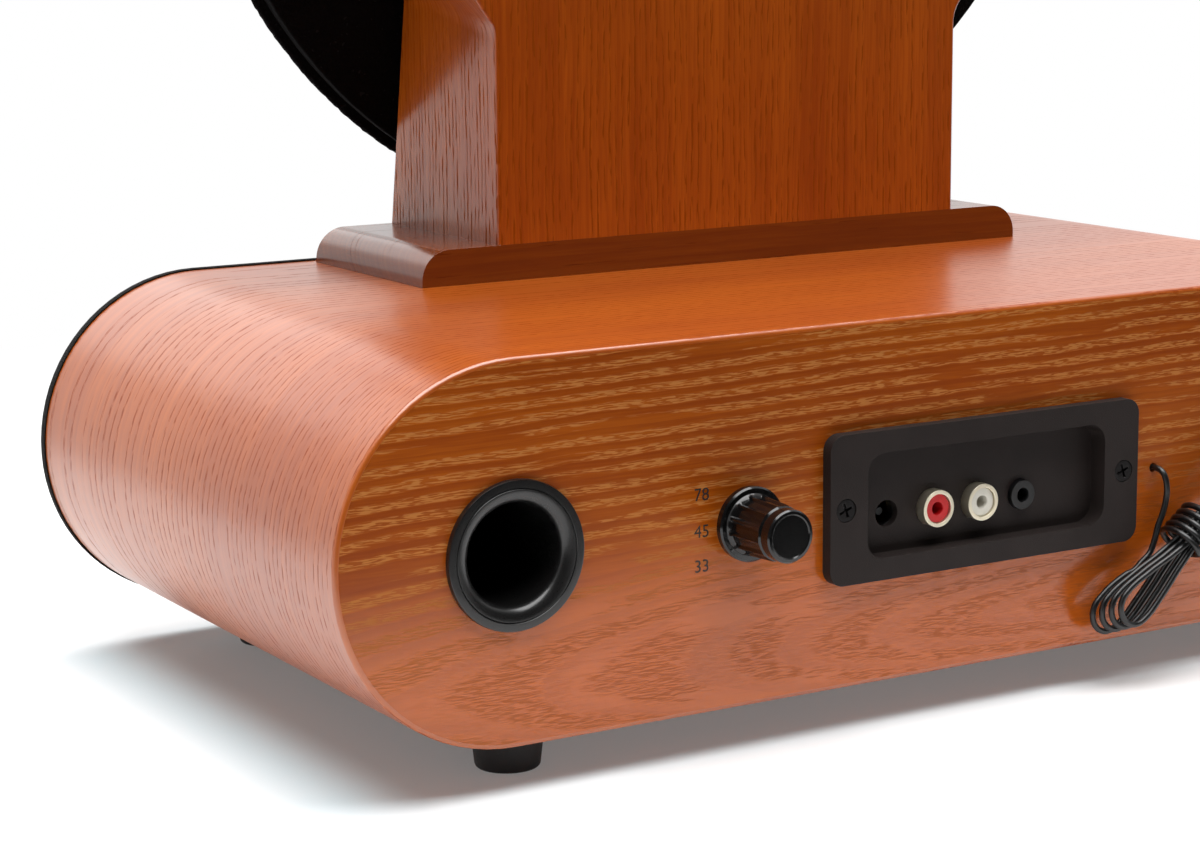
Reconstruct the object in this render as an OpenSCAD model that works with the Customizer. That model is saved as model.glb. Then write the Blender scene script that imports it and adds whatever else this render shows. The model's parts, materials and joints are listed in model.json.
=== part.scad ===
// Upright record player: a pill-shaped loudspeaker base, a wedge-shaped tower on top of it,
// a platter that stands almost upright in front of the tower, and a tonearm that hangs beside it.
// Millimetres. It stands on z = 0, the grille faces -Y and the socket panel faces +Y.

/* [Base] */
// Width of the pill-shaped base, end to end
base_w = 355; // [340:1:400]
// Height of the base without its feet
base_h = 90; // [84:1:110]
// Depth of the wooden base without the grille
base_d = 177; // [165:1:210]
// Thickness of the wrapped wooden shell
shell_t = 12; // [9:0.5:14]
// Thickness of the rear panel
rear_t = 9; // [7:0.5:12]
// Wooden rim left around the rear panel
rear_rim = 1.2; // [0.8:0.1:2]
// Thickness of the front baffle board
baffle_t = 12; // [9:0.5:15]
// Thickness of the grille frame
grille_t = 2.4; // [2:0.1:4]
// Thickness of the grille cloth
cloth_t = 0.6; // [0.4:0.1:1]
// How far the grille's outline stays inside the base's outline
grille_in = 0.4; // [0:0.1:2]
// Diameter of the pegs that hold the grille
peg_d = 5; // [4:0.5:6]
// Length of the grille pegs
peg_l = 8; // [5:0.5:10]

/* [Feet] */
// Height of a rubber foot
foot_h = 11; // [6:0.5:16]
// Diameter of a foot where it meets the base
foot_top_d = 18; // [16:0.5:24]
// Diameter of a foot on the floor
foot_bottom_d = 15.5; // [14:0.5:22]
// Distance of a foot's centre from the start of the rounded end
foot_in = 9; // [9:0.5:20]
// Distance of a foot's centre from the front or rear edge
foot_edge = 21; // [12:0.5:30]
// Diameter of a foot screw
foot_screw_d = 3.5; // [3:0.1:5]
// Diameter of a foot screw's head
foot_head_d = 7; // [6:0.1:9]

/* [Loudspeakers] */
// Gap between a loudspeaker's rim and the shell
spk_gap = 2; // [1:0.5:4]
// Distance of a loudspeaker's centre from the start of the rounded end
spk_in = 12.5; // [8:0.5:20]
// Width of the mounting flange of a loudspeaker
spk_flange = 4.5; // [4:0.5:6]
// Depth of a loudspeaker's basket
spk_d = 23; // [18:1:30]
// Diameter of a loudspeaker's magnet
magnet_d = 38; // [30:1:44]
// Thickness of a loudspeaker's magnet
magnet_t = 12; // [8:1:16]
// Diameter of a loudspeaker screw
spk_screw_d = 2.4; // [2:0.1:3]

/* [Bass ports] */
// Diameter of a port's flange
port_flange_d = 35; // [32:0.5:44]
// How far a port's flange stands proud of the panel
port_proud = 1.5; // [1:0.1:3]
// Diameter of a port's throat
port_throat_d = 25; // [20:0.5:27]
// Thickness of a port's tube
port_wall = 1.8; // [1.2:0.1:2.5]
// Length of a port's tube behind the panel's face
port_l = 60; // [40:1:80]
// Depth of the rounded mouth of a port
port_mouth = 7; // [5:0.5:9]

/* [Jack plate] */
// Height of the jack plate
plate_h = 37; // [35:1:48]
// How far the jack plate stands proud of the panel
plate_proud = 3.2; // [2:0.1:5]
// Corner radius of the jack plate
plate_r = 4; // [2:0.5:6]
// Height of the recess in the jack plate
recess_h = 26; // [22:1:27]
// Depth of the recess below the plate's face
recess_d = 5.2; // [4:0.1:7]
// Corner radius of the recess
recess_r = 5; // [3:0.5:7]
// Wall behind and around the recess
recess_wall = 2; // [1.5:0.1:2.5]
// Distance between the two plate screws
plate_screw_pitch = 86.6; // [80:0.1:100]
// Distance from a plate screw to the end of the jack plate
plate_screw_side = 4.7; // [4:0.1:8]
// Distance from a plate screw to the side of the recess
recess_screw_gap = 6.3; // [5.8:0.1:8]
// Diameter of a plate screw
plate_screw_d = 2.6; // [2:0.1:3.2]
// Diameter of a plate screw's head
plate_head_d = 5.6; // [4.5:0.1:6]
// Distance from one socket to the next
jack_pitch = 13.8; // [13:0.1:15]
// Height of the sockets below the middle of the plate
jack_drop = 3.4; // [0:0.1:5]
// Outer diameter of a line socket's metal shell
rca_d = 9.3; // [8:0.1:10]
// Wall of a line socket's metal shell
rca_wall = 1; // [0.6:0.1:1.3]
// How far a line socket stands out of the recess floor
rca_proud = 3; // [2:0.1:5]
// Diameter of the power socket's mouth
dc_d = 6.6; // [5.5:0.1:7]
// Diameter of the power socket's centre pin
dc_pin_d = 2.1; // [1.6:0.1:2.6]
// Outer diameter of the aux socket's collar
aux_d = 7.4; // [6.5:0.1:9]
// Diameter of the aux socket's bore
aux_bore_d = 3.6; // [3.5:0.05:4]
// How far the aux socket's collar stands out of the recess floor
aux_proud = 1.4; // [1:0.1:3]
// Depth of the socket bodies behind the recess floor
jack_body_d = 14; // [10:1:18]

/* [Speed knob] */
// Place of the speed knob, sideways from the middle
speed_x = 71.5; // [66:0.5:74]
// Diameter of the speed knob's flange
speed_flange_d = 18; // [16:0.5:22]
// Diameter of the speed knob's body at the flange
speed_body_d = 14.5; // [13:0.5:16]
// Diameter of the speed knob at its tip
speed_tip_d = 12.6; // [11:0.1:13]
// Length of the speed knob
speed_l = 17.7; // [14:0.1:22]
// Gap between the speed knob and the panel
speed_off = 3; // [2.6:0.1:4]
// Diameter of the speed switch's shaft
speed_shaft_d = 6; // [5:0.1:6.4]

/* [Aerial wire] */
// Diameter of the aerial wire
wire_d = 1.6; // [1.4:0.05:1.8]
// Place of the wire's hole, sideways from the middle
wire_x = -56; // [-60:0.5:-54]

/* [Control panel] */
// Gap between the control panel and a loudspeaker's opening
panel_gap = 11.5; // [8:0.5:20]
// Height of the control panel
panel_h = 52; // [48:1:60]
// Thickness of the control panel
panel_t = 4; // [3.5:0.1:5]
// Gap between the display window and a front knob's axis
window_gap = 23; // [20:0.5:30]
// Height of the display window
window_h = 22; // [16:1:24]
// Thickness of the display window
window_t = 2; // [1.5:0.1:2.5]
// Distance of a front knob's axis from the control panel's end
knob_in = 27; // [24:0.5:32]
// Diameter of a front knob
knob_d = 28; // [20:0.5:32]
// Length of a front knob
knob_l = 18.7; // [12:0.1:22]
// Gap between a front knob and the control panel
knob_off = 1; // [0.6:0.1:2]
// Diameter of a front knob's shaft
knob_shaft_d = 6; // [5:0.1:6.4]
// Diameter of a push button
button_d = 7; // [6:0.1:9]
// Distance between push buttons
button_pitch = 18; // [14:0.5:22]
// How far a push button stands out of the control panel
button_proud = 1.6; // [1.4:0.1:3]
// Travel of a push button
button_travel = 1; // [0.6:0.1:1.2]

/* [Tower] */
// Distance of the tower's back from the rear panel's face
tower_in = 109.5; // [100:0.5:112]
// Depth of the tower where it stands on the base
tower_d = 64.2; // [60:0.1:72]
// Angle by which the tower's face leans back
lean = 9.32; // [6:0.01:10]
// Width of the plinth
plinth_w = 195.5; // [180:0.5:230]
// Height of the plinth
plinth_h = 9.6; // [8:0.1:16]
// Radius of the plinth's rounded ends
plinth_r = 8; // [4:0.1:8]
// Width of the tower's neck
neck_w = 150; // [130:1:170]
// Height of the neck above the plinth
neck_h = 55.4; // [40:0.1:70]
// Angle of the shoulders from upright
flare = 35; // [30:1:40]
// Radius of the bend between neck and shoulder
bend_r = 10; // [4:0.5:20]
// Width of the tower's head
head_w = 320; // [310:1:350]
// How far the head rises above the spindle
head_over = 162; // [156:1:170]
// Radius of the head's top corners
head_r = 36; // [20:1:50]
// Radius of the corners where the shoulders end
shoulder_r = 30; // [10:1:50]
// Thickness of the tower's front board
face_t = 8; // [6:0.5:9]
// Thickness of the tower's side walls
case_wall = 10; // [7:0.5:12]
// Thickness of the tower's back wall
case_back = 8; // [6:0.5:9]
// Thickness of the tower's floor
case_floor = 18; // [14:1:20]
// Diameter of the bolts that hold the tower
bolt_d = 6; // [5:0.5:8]

/* [Platter] */
// Place of the spindle, sideways from the middle
spindle_x = -10; // [-14:0.5:-4]
// Diameter of the felt mat
mat_d = 302; // [290:1:310]
// Thickness of the felt mat
mat_t = 2.5; // [1.5:0.1:4]
// Least gap between the mat and the base, along the face
mat_clear = 4.3; // [3:0.1:10]
// Diameter of the platter
platter_d = 296; // [280:1:300]
// Thickness of the platter
platter_t = 5; // [4:0.1:8]
// Gap between the platter and the tower's face
platter_off = 4.5; // [4:0.1:7]
// Diameter of the drive ring behind the platter
ring_d = 90; // [70:1:110]
// Diameter of the platter's shaft
shaft_d = 8; // [7:0.1:10]
// Diameter of the record spindle
spindle_d = 7.2; // [6.5:0.1:7.3]
// Length of the record spindle above the mat
spindle_l = 15; // [12:0.5:18]
// Diameter of the bearing housing
bearing_d = 16; // [14:0.5:20]
// Length of the bearing housing behind the face
bearing_l = 26; // [18:1:27]
// Diameter of the record clamp
clamp_d = 44; // [36:1:60]
// Height of the record clamp
clamp_h = 17; // [16:0.5:22]

/* [Drive] */
// Distance of the motor below the spindle, along the face
motor_drop = 80; // [72:1:90]
// Diameter of the motor
motor_d = 32; // [26:1:36]
// Length of the motor
motor_l = 24; // [18:1:30]
// Diameter of the motor pulley
pulley_d = 10; // [8:0.5:14]
// Thickness of the belt
belt_t = 0.9; // [0.6:0.1:1.2]
// Width of the belt
belt_w = 2.4; // [1.6:0.1:2.6]

/* [Tonearm] */
// Place of the arm's pivot to the right of the spindle
arm_p = 132; // [128:1:136]
// Place of the arm's pivot above the spindle, along the face
arm_q = 136; // [130:1:140]
// How far the stylus reaches past the spindle
overhang = 14; // [10:0.5:18]
// Gap between the mat's edge and the parked stylus
park_gap = 14; // [12:0.5:20]
// Height of the arm's axis above the tower's face
arm_w = 32; // [30:0.5:36]
// Diameter of the arm tube
arm_d = 9; // [7:0.5:10]
// Diameter of the turret
turret_d = 34; // [30:1:38]
// Height of the turret
turret_h = 16; // [12:0.5:17]
// Diameter of the counterweight
weight_d = 28; // [24:0.5:30]
// Length of the counterweight
weight_l = 26; // [20:0.5:32]
// Angle of the headshell to the arm
shell_angle = 22; // [18:0.5:26]
// Distance of the arm rest from the pivot
rest_x = 50; // [40:1:70]

/* [Hidden] */
$fn = 64;

// Clearances: glued and pressed fits, turning fits, and parts that only pass each other
fit = 0.1;
run = 0.05;
free = 0.4;
// How far a cutting shape runs past the face that it cuts
past = 1;

// Places of the base's faces
back_y = (base_d + grille_t + cloth_t) / 2;
front_y = back_y - base_d;
panel_y = front_y - panel_t;
mid_z = foot_h + base_h / 2;
base_top = foot_h + base_h;
end_x = (base_w - base_h) / 2;
inner_r = base_h / 2 - shell_t;
baffle_y = front_y + baffle_t;
inside_y = back_y - rear_t;
inside_z = foot_h + shell_t;

// Feet
foot_head_h = 2.5;

// Loudspeakers
spk_x = end_x - spk_in;
spk_r = inner_r - spk_gap;
spk_hole_r = spk_r - spk_flange;
spk_screw_r = spk_r - spk_flange / 2;
spk_screw_l = 9;
spk_flange_t = 2.5;
spk_ledge_r = spk_hole_r - 3;
coil_r = 6;
magnet_r = magnet_d / 2;

// Grille pegs sit beside the loudspeakers, inside the rounded ends
peg_ring = inner_r - 6.5;
peg_angle = 32;

// Jack plate
plate_z = mid_z;
jack_z = plate_z - jack_drop;
plate_y = back_y + plate_proud;
head_sink = 1.6;
floor_y = plate_y - recess_d;
floor_back_y = floor_y - recess_wall;
plate_w = plate_screw_pitch + 2 * plate_screw_side;
recess_w = plate_screw_pitch - 2 * recess_screw_gap;
pocket_w = recess_w + 2 * recess_wall;
pocket_h = recess_h + 2 * recess_wall;
dc_x = 2 * jack_pitch;
red_x = jack_pitch;
white_x = 0;
aux_x = -jack_pitch;
jack_body_w = 10;
board_t = 1.6;
jack_board_y = floor_back_y - jack_body_d;
jack_board_side = 4;
jack_board_edge = 7;
plate_screw_l = 12;

// Speed switch
bush_d = speed_shaft_d + 2;
nut_t = 2;
switch_w = 20;
switch_d = 14;
speed_z = mid_z + 0.5;
speed_y = back_y + speed_off;
shaft_grip = 10;
flute_n = 12;
// Angle of the knob's pointer at the lowest speed, from +X towards -Z
speed_rest = 41;

// Control panel, between the loudspeakers
panel_w = 2 * (spk_x - spk_hole_r - panel_gap);
knob_x = panel_w / 2 - knob_in;
window_w = 2 * (knob_x - window_gap);
knob_z = mid_z + 2;
pot_d = 17;
pot_l = 8;
control_board_y = front_y + pot_l;
window_z = mid_z + 8;
window_r = 3;
button_z = mid_z - 14;
button_rim = 1.1;
button_rim_t = 1;
button_stem = 2.4;
tact_w = 6;
cutout_side = 13;
cutout_edge = 5;
cutout_w = panel_w - 2 * cutout_side;
cutout_h = panel_h - 2 * cutout_edge;
cutout_r = 4;

// Tower
tower_back_y = back_y - tower_in;
tower_front_y = tower_back_y - tower_d;
plinth_top = base_top + plinth_h;
flare_z = plinth_top + neck_h;
shoulder_z = flare_z + (head_w - neck_w) / 2 / tan(flare);
mat_r = mat_d / 2;
spindle_z = base_top + (mat_r + mat_clear) * cos(lean);
head_top = spindle_z + head_over;
cavity_w = neck_w - 2 * case_wall;
cavity_z = plinth_top + case_floor;
cavity_over = 30;
cavity_top = spindle_z + cavity_over;
far = 3 * base_w;
bolt_side = 30;
bolt_x = neck_w / 2 - bolt_side;
bolt_in = 16;
bolt_head_d = 1.7 * bolt_d;
bolt_head_h = 4;
bolt_bite = 12;
bolt_clear = 4.4;
bolt_behind = 18.2;
bolt_rows = [
    tower_back_y - bolt_in,
    max(baffle_y + bolt_head_d / 2 + bolt_clear, tower_front_y + bolt_behind)
];

// Heights above the tower's face
platter_top = platter_off + platter_t;
mat_top = platter_top + mat_t;
spindle_tip = mat_top + spindle_l;
bearing_flange = 1;
ring_low = bearing_flange + free;
belt_low = (ring_low + platter_off - belt_w) / 2;
pulley_r = pulley_d / 2;
pulley_clear = 2;
ring_r = ring_d / 2;
clamp_low = mat_top + 0.2;
clamp_bore = spindle_tip + free - clamp_low;

// Tonearm: the pivot, the length to the stylus and the parked direction follow from the mat
pivot_span = norm([arm_p, arm_q]);
arm_reach = pivot_span + overhang;
park_span = mat_r + park_gap;
park_turn = acos((pivot_span ^ 2 + arm_reach ^ 2 - park_span ^ 2) / (2 * pivot_span * arm_reach));
park_dir = atan2(-arm_q, -arm_p) + park_turn;
post_d = 8;
boss_d = post_d + 8;
yoke_t = 3;
yoke_d = 24;
yoke_low = turret_h + free;
cheek_t = 4;
cheek_l = 14;
cheek_top = 7;
block_w = 15;
block_l = 14;
block_h = 12;
pivot_d = 3;
stub_d = 7;
stub_in = 22;
stub_l = stub_in + weight_l + 3;
shell_l = 38;
shell_w = 17;
shell_plate = 2;
cart_l = 18;
cart_w = 15;
stylus_w = mat_top + 5.5;
stylus_h = 3;
collar_l = 14;
collar_end = 6;
ledge_gap = 1.3;
rest_post_d = 6;

// Amplifier board
amp_w = 110;
amp_l = 78;
amp_y = 12;
standoff_h = 6;
standoff_d = 6;
standoff_in = 6;
sink_w = 46;
sink_l = 24;
sink_h = 22;
fin_t = 2;
fin_n = 6;

// Aerial wire: local axes of the hank, along it, across it, and out from the panel
hank_tilt = 37;
hank_along = [cos(hank_tilt), 0, -sin(hank_tilt)];
hank_across = [sin(hank_tilt), 0, cos(hank_tilt)];
hank_out = [0, 1, 0];
hank_loops = 4;
hank_step = wire_d + 0.6;
hank_half = 30;
hank_short = 1.5;
fold_r = 3 * wire_d + 0.1;
hank_start = 14;
wrap_turns = 5;
wrap_across = hank_step / 2 + wire_d + 2.3;
wrap_out = layer(hank_loops - 1) + wire_d + 1.7;
wrap_low = -7;
wrap_angle = 70;
wrap_bend = 3.8;
hank_off = 0.3;
hank_at = [-62, back_y + wrap_out + wire_d / 2 + hank_off, 38];
wire_hole = 4;
wire_z = 55;
lead_gap = 0.4;
rings_per_loop = 24;

// A pill outline: a rectangle with half-round ends
module pill(w, h) {
    square([w - h, h], center = true);
    for (side = [-1, 1]) translate([side * (w - h) / 2, 0]) circle(d = h);
}

// The outline of the base, drawn in X and Z, a distance inside its outer face
module base_outline(inset) { translate([0, mid_z]) pill(base_w - 2 * inset, base_h - 2 * inset); }

// The outline of the control panel, a gap wider on each side
module panel_outline(gap) { translate([0, mid_z]) pill(panel_w + 2 * gap, panel_h + 2 * gap); }

// A rectangle with round corners
module round_rect(w, h, r) {
    square([w - 2 * r, h], center = true);
    square([w, h - 2 * r], center = true);
    for (x = [-1, 1], z = [-1, 1]) translate([x * (w / 2 - r), z * (h / 2 - r)]) circle(r);
}

// Extrudes an outline drawn in X and Z from y0 to y1
module slab(y0, y1) {
    translate([0, y1, 0]) rotate([90, 0, 0]) linear_extrude(y1 - y0) children();
}

// A place on the rear panel or on the front, with local +Z pointing out of the base
module on_rear(x, y, z) { translate([x, y, z]) rotate([-90, 0, 0]) children(); }
module on_front(x, y, z) { translate([x, y, z]) rotate([90, 0, 0]) children(); }

// A place on the tower's leaning face, right of and above the spindle, w above the face
module on_face(p, q, w) {
    translate([spindle_x, face_y(spindle_z), spindle_z])
        rotate([90 - lean, 0, 0]) translate([p, q, w]) children();
}

// A place on the parked tonearm: +X runs from the pivot to the stylus
module on_arm(x, w) {
    on_face(arm_p, arm_q, w) rotate([0, 0, park_dir]) translate([x, 0, 0]) children();
}

function face_y(z) = tower_front_y + (z - base_top) * tan(lean);
function unit(v) = v / norm(v);

// Rounds one corner of an outline: points of the arc between the two sides
function corner(a, p, b, r) = r == 0 ? [p] : let(
    u = unit(a - p),
    v = unit(b - p),
    half = acos(u * v) / 2,
    c = p + unit(u + v) * r / sin(half),
    from = p + u * r / tan(half) - c,
    to = p + v * r / tan(half) - c,
    start = atan2(from[1], from[0]),
    turn = atan2(to[1], to[0]) - start,
    sweep = turn > 180 ? turn - 360 : turn < -180 ? turn + 360 : turn,
    n = 10
) [for (i = [0:n]) c + r * [cos(start + sweep * i / n), sin(start + sweep * i / n)]];

// An outline with rounded corners, from a list of x, z and radius
function rounded(list) = let(n = len(list)) [
    for (i = [0:n - 1], q = corner(
        [list[(i + n - 1) % n][0], list[(i + n - 1) % n][1]],
        [list[i][0], list[i][1]],
        [list[(i + 1) % n][0], list[(i + 1) % n][1]],
        list[i][2])) q
];

// Base

module cabinet_shell() {
    color("#b5622c") difference() {
        slab(front_y, back_y) base_outline(0);
        slab(front_y - past, back_y + past) base_outline(shell_t);
        slab(inside_y, back_y + past) base_outline(rear_rim);
        at_feet() translate([0, 0, foot_h - past]) cylinder(d = foot_screw_d, h = shell_t - 2 + past);
        at_bolts() translate([0, 0, base_top - shell_t - past])
            cylinder(d = bolt_d + 2 * fit, h = shell_t + 2 * past);
    }
}

module rear_panel() {
    color("#bd692d") difference() {
        slab(inside_y, back_y) base_outline(rear_rim + fit);
        for (side = [-1, 1]) on_rear(side * end_x, inside_y - past, mid_z)
            cylinder(d = port_throat_d + 2 * (port_wall + fit), h = rear_t + 2 * past);
        slab(inside_y - past, back_y + past) translate([0, plate_z])
            round_rect(pocket_w + 2 * fit, pocket_h + 2 * fit, recess_r);
        at_plate_screws(inside_y - past) cylinder(d = plate_screw_d, h = rear_t + 2 * past);
        on_rear(speed_x, inside_y - past, speed_z) cylinder(d = bush_d + 2 * fit, h = rear_t + 2 * past);
        on_rear(wire_x, back_y - wire_hole, wire_z)
            cylinder(d = wire_d + 2 * lead_gap, h = wire_hole + past);
    }
}

module front_baffle() {
    color("#1b1a19") difference() {
        slab(front_y, baffle_y) base_outline(shell_t + fit);
        at_speakers() translate([0, 0, -baffle_t - past]) cylinder(r = spk_hole_r, h = baffle_t + 2 * past);
        at_speaker_screws() translate([0, 0, spk_flange_t - spk_screw_l])
            cylinder(d = spk_screw_d, h = spk_screw_l);
        slab(front_y - past, baffle_y + past) translate([0, mid_z])
            round_rect(cutout_w, cutout_h, cutout_r);
        at_pegs() cylinder(d = peg_d + 2 * fit, h = peg_l + fit);
    }
}

module grille_frame() {
    color("#141414") {
        difference() {
            slab(front_y - grille_t, front_y) base_outline(grille_in);
            at_speakers() translate([0, 0, -baffle_t - grille_t - past])
                cylinder(r = spk_hole_r, h = grille_t + 2 * past);
            slab(front_y - grille_t - past, front_y + past) panel_outline(free);
        }
        at_pegs() cylinder(d = peg_d, h = peg_l);
    }
}

module grille_cloth() {
    color("#1d1c1c") slab(front_y - grille_t - cloth_t, front_y - grille_t) difference() {
        base_outline(grille_in);
        panel_outline(free);
    }
}

module at_pegs() {
    x = end_x + peg_ring * cos(peg_angle);
    rise = peg_ring * sin(peg_angle);
    for (side = [-1, 1], up = [-1, 1]) on_rear(side * x, front_y, mid_z + up * rise) children();
}

module at_feet() {
    for (side = [-1, 1], y = [front_y + foot_edge, back_y - foot_edge])
        translate([side * (end_x - foot_in), y, 0]) children();
}

module rubber_feet() {
    color("#161616") at_feet() difference() {
        cylinder(d1 = foot_bottom_d, d2 = foot_top_d, h = foot_h);
        translate([0, 0, -past]) cylinder(d = foot_screw_d + 2 * fit, h = foot_h + 2 * past);
        translate([0, 0, -past]) cylinder(d = foot_head_d + 2 * fit, h = foot_h / 2 + past);
    }
}

module foot_screws() {
    color("#8f8f90") at_feet() {
        translate([0, 0, foot_h / 2]) cylinder(d = foot_screw_d - 2 * fit, h = foot_h / 2 + shell_t - 3);
        translate([0, 0, foot_h / 2 - foot_head_h]) cylinder(d = foot_head_d, h = foot_head_h);
    }
}

// Loudspeakers, seen from their front: local +Z runs into the base

module at_speakers(sides = [-1, 1]) {
    for (side = sides) on_rear(side * spk_x, baffle_y, mid_z) children();
}

module at_speaker_screws() {
    at_speakers() for (k = [0:3]) rotate(45 + 90 * k) translate([spk_screw_r, 0, 0]) children();
}

module speaker_basket(side) {
    neck = magnet_r - 3;
    color("#2b2b2c") at_speakers([side]) difference() {
        rotate_extrude() polygon([
            [spk_ledge_r, 0], [spk_r, 0], [spk_r, spk_flange_t], [spk_hole_r, spk_flange_t],
            [neck, spk_d - 2], [neck, spk_d], [coil_r + 1, spk_d], [coil_r + 1, spk_d - 2],
            [neck - 2, spk_d - 2], [spk_ledge_r, 1]
        ]);
        for (k = [0:3]) rotate(45 + 90 * k) translate([spk_screw_r, 0, -past])
            cylinder(d = spk_screw_d + 2 * fit, h = spk_flange_t + 2 * past);
    }
}

module speaker_basket_left() { speaker_basket(-1); }
module speaker_basket_right() { speaker_basket(1); }

// The cone's rim lies on the ledge of the basket, and its voice coil on the magnet
module speaker_cone(side) {
    rim = spk_hole_r - 0.8;
    color("#242426") at_speakers([side]) rotate_extrude() polygon([
        [0, 8], [coil_r + 1, 10.5], [rim - 5, 0.6], [rim - 3.4, -1.2], [rim - 1.8, -0.8], [rim, -0.8],
        [rim, 0], [rim - 1.8, 0], [rim - 3.2, -0.2], [rim - 4.6, 1.8], [coil_r, 12.5], [coil_r, spk_d],
        [coil_r - 1, spk_d], [coil_r - 1, 11.5], [0, 9]
    ]);
}

module speaker_cone_left() { speaker_cone(-1); }
module speaker_cone_right() { speaker_cone(1); }

module speaker_magnets() {
    color("#3a3a3c") at_speakers() translate([0, 0, spk_d]) cylinder(r = magnet_r, h = magnet_t);
}

module speaker_screws() {
    color("#7f7f80") at_speaker_screws() {
        translate([0, 0, spk_flange_t - spk_screw_l + 1])
            cylinder(d = spk_screw_d - 2 * fit, h = spk_screw_l - 1);
        translate([0, 0, spk_flange_t]) cylinder(d = 2 * spk_screw_d - 0.6, h = 1.4);
    }
}

// A bass port: flange, rounded mouth and straight tube, local +Z pointing out of the panel
module bass_port(side) {
    throat = port_throat_d / 2;
    tube = throat + port_wall;
    lip = port_flange_d / 2;
    flat = lip - 2;
    chamfer = 0.8;
    color("#131314") on_rear(side * end_x, back_y, mid_z) rotate_extrude() polygon(concat(
        [[throat, -port_l], [tube, -port_l], [tube, 0], [lip, 0], [lip, port_proud - chamfer],
         [lip - chamfer, port_proud], [flat, port_proud]],
        [for (i = [1:8]) let(a = 90 * i / 8)
            [flat - (flat - throat) * sin(a), port_proud - port_mouth * (1 - cos(a))]]
    ));
}

module bass_port_left() { bass_port(-1); }
module bass_port_right() { bass_port(1); }

// Jack plate and its sockets

module at_plate_screws(y) {
    for (side = [-1, 1]) on_rear(side * plate_screw_pitch / 2, y, plate_z) children();
}

module jack_plate() {
    color("#1c1b1c") difference() {
        union() {
            slab(back_y, plate_y) translate([0, plate_z]) round_rect(plate_w, plate_h, plate_r);
            slab(floor_back_y, back_y + past) translate([0, plate_z])
                round_rect(pocket_w, pocket_h, recess_r);
        }
        slab(floor_y, plate_y + past) translate([0, plate_z]) round_rect(recess_w, recess_h, recess_r);
        at_plate_screws(back_y - past) cylinder(d = plate_screw_d + 2 * fit, h = plate_proud + 2 * past);
        at_plate_screws(plate_y - head_sink) cylinder(d = plate_head_d + 2 * fit, h = head_sink + past);
        socket_hole(dc_x, dc_d);
        socket_hole(red_x, rca_d + 2 * fit);
        socket_hole(white_x, rca_d + 2 * fit);
        socket_hole(aux_x, aux_d + 2 * fit);
    }
}

module socket_hole(x, d) {
    on_rear(x, floor_back_y - past, jack_z) cylinder(d = d, h = recess_wall + 2 * past);
}

module plate_screws() {
    color("#101010") at_plate_screws(plate_y - head_sink) difference() {
        union() {
            cylinder(d = plate_head_d, h = head_sink - 0.2);
            translate([0, 0, -plate_screw_l]) cylinder(d = plate_screw_d - 2 * fit, h = plate_screw_l);
        }
        for (turn = [20, 110]) rotate(turn) translate([-plate_head_d / 3, -0.35, 0.5])
            cube([plate_head_d / 1.5, 0.7, 2]);
    }
}

// The moulded body of a socket, between the recess floor and the jack board
module socket_body(x) {
    on_rear(x, jack_board_y, jack_z) translate([-jack_body_w / 2, -jack_body_w / 2, 0])
        cube([jack_body_w, jack_body_w, jack_body_d]);
}

module dc_jack() {
    color("#0f0f10") difference() {
        socket_body(dc_x);
        on_rear(dc_x, jack_board_y + 3, jack_z) difference() {
            cylinder(d = dc_d, h = jack_body_d);
            cylinder(d = dc_pin_d, h = jack_body_d - 4);
        }
    }
}

module at_rca() { for (x = [red_x, white_x]) on_rear(x, floor_y + rca_proud, jack_z) children(); }

module rca_shells() {
    rca_l = rca_proud + recess_wall + jack_body_d;
    color("#d9d2bf") at_rca() translate([0, 0, -rca_l]) difference() {
        cylinder(d = rca_d, h = rca_l);
        translate([0, 0, 2]) cylinder(d = rca_d - 2 * rca_wall, h = rca_l);
    }
}

module rca_insert(x) {
    bore = 3.3;
    rca_l = rca_proud + recess_wall + jack_body_d - 2;
    on_rear(x, floor_y + rca_proud - rca_l, jack_z) difference() {
        cylinder(d = rca_d - 2 * rca_wall - 2 * fit, h = rca_l - 0.6);
        translate([0, 0, 4]) cylinder(d = bore, h = rca_l);
    }
}

module rca_insert_red() { color("#c8140f") rca_insert(red_x); }
module rca_insert_white() { color("#ece8dc") rca_insert(white_x); }

module aux_jack() {
    color("#111112") difference() {
        union() {
            socket_body(aux_x);
            on_rear(aux_x, floor_back_y - past, jack_z)
                cylinder(d = aux_d, h = recess_wall + aux_proud + past);
        }
        on_rear(aux_x, jack_board_y + 2, jack_z)
            cylinder(d = aux_bore_d, h = jack_body_d + recess_wall + aux_proud);
    }
}

module jack_board() {
    board_w = dc_x - aux_x + jack_body_w + 2 * jack_board_side;
    board_h = jack_body_w + 2 * jack_board_edge;
    color("#1f5a35") slab(jack_board_y - board_t, jack_board_y) translate([(dc_x + aux_x) / 2, jack_z])
        square([board_w, board_h], center = true);
}

// Speed switch, its nut and its knob

module speed_switch() {
    color("#3c3d3f") difference() {
        union() {
            on_rear(speed_x, inside_y - switch_d, speed_z) translate([-switch_w / 2, -switch_w / 2, 0])
                cube([switch_w, switch_w, switch_d]);
            on_rear(speed_x, inside_y - past, speed_z) cylinder(d = bush_d, h = rear_t + nut_t + past);
        }
        on_rear(speed_x, inside_y - switch_d + 4, speed_z) cylinder(d = speed_shaft_d + 2 * run, h = far);
    }
}

module switch_nut() {
    color("#b9b9ba") on_rear(speed_x, back_y, speed_z) difference() {
        cylinder(d = bush_d + 5, h = nut_t, $fn = 6);
        translate([0, 0, -past]) cylinder(d = bush_d + 2 * run, h = nut_t + 2 * past);
    }
}

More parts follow.
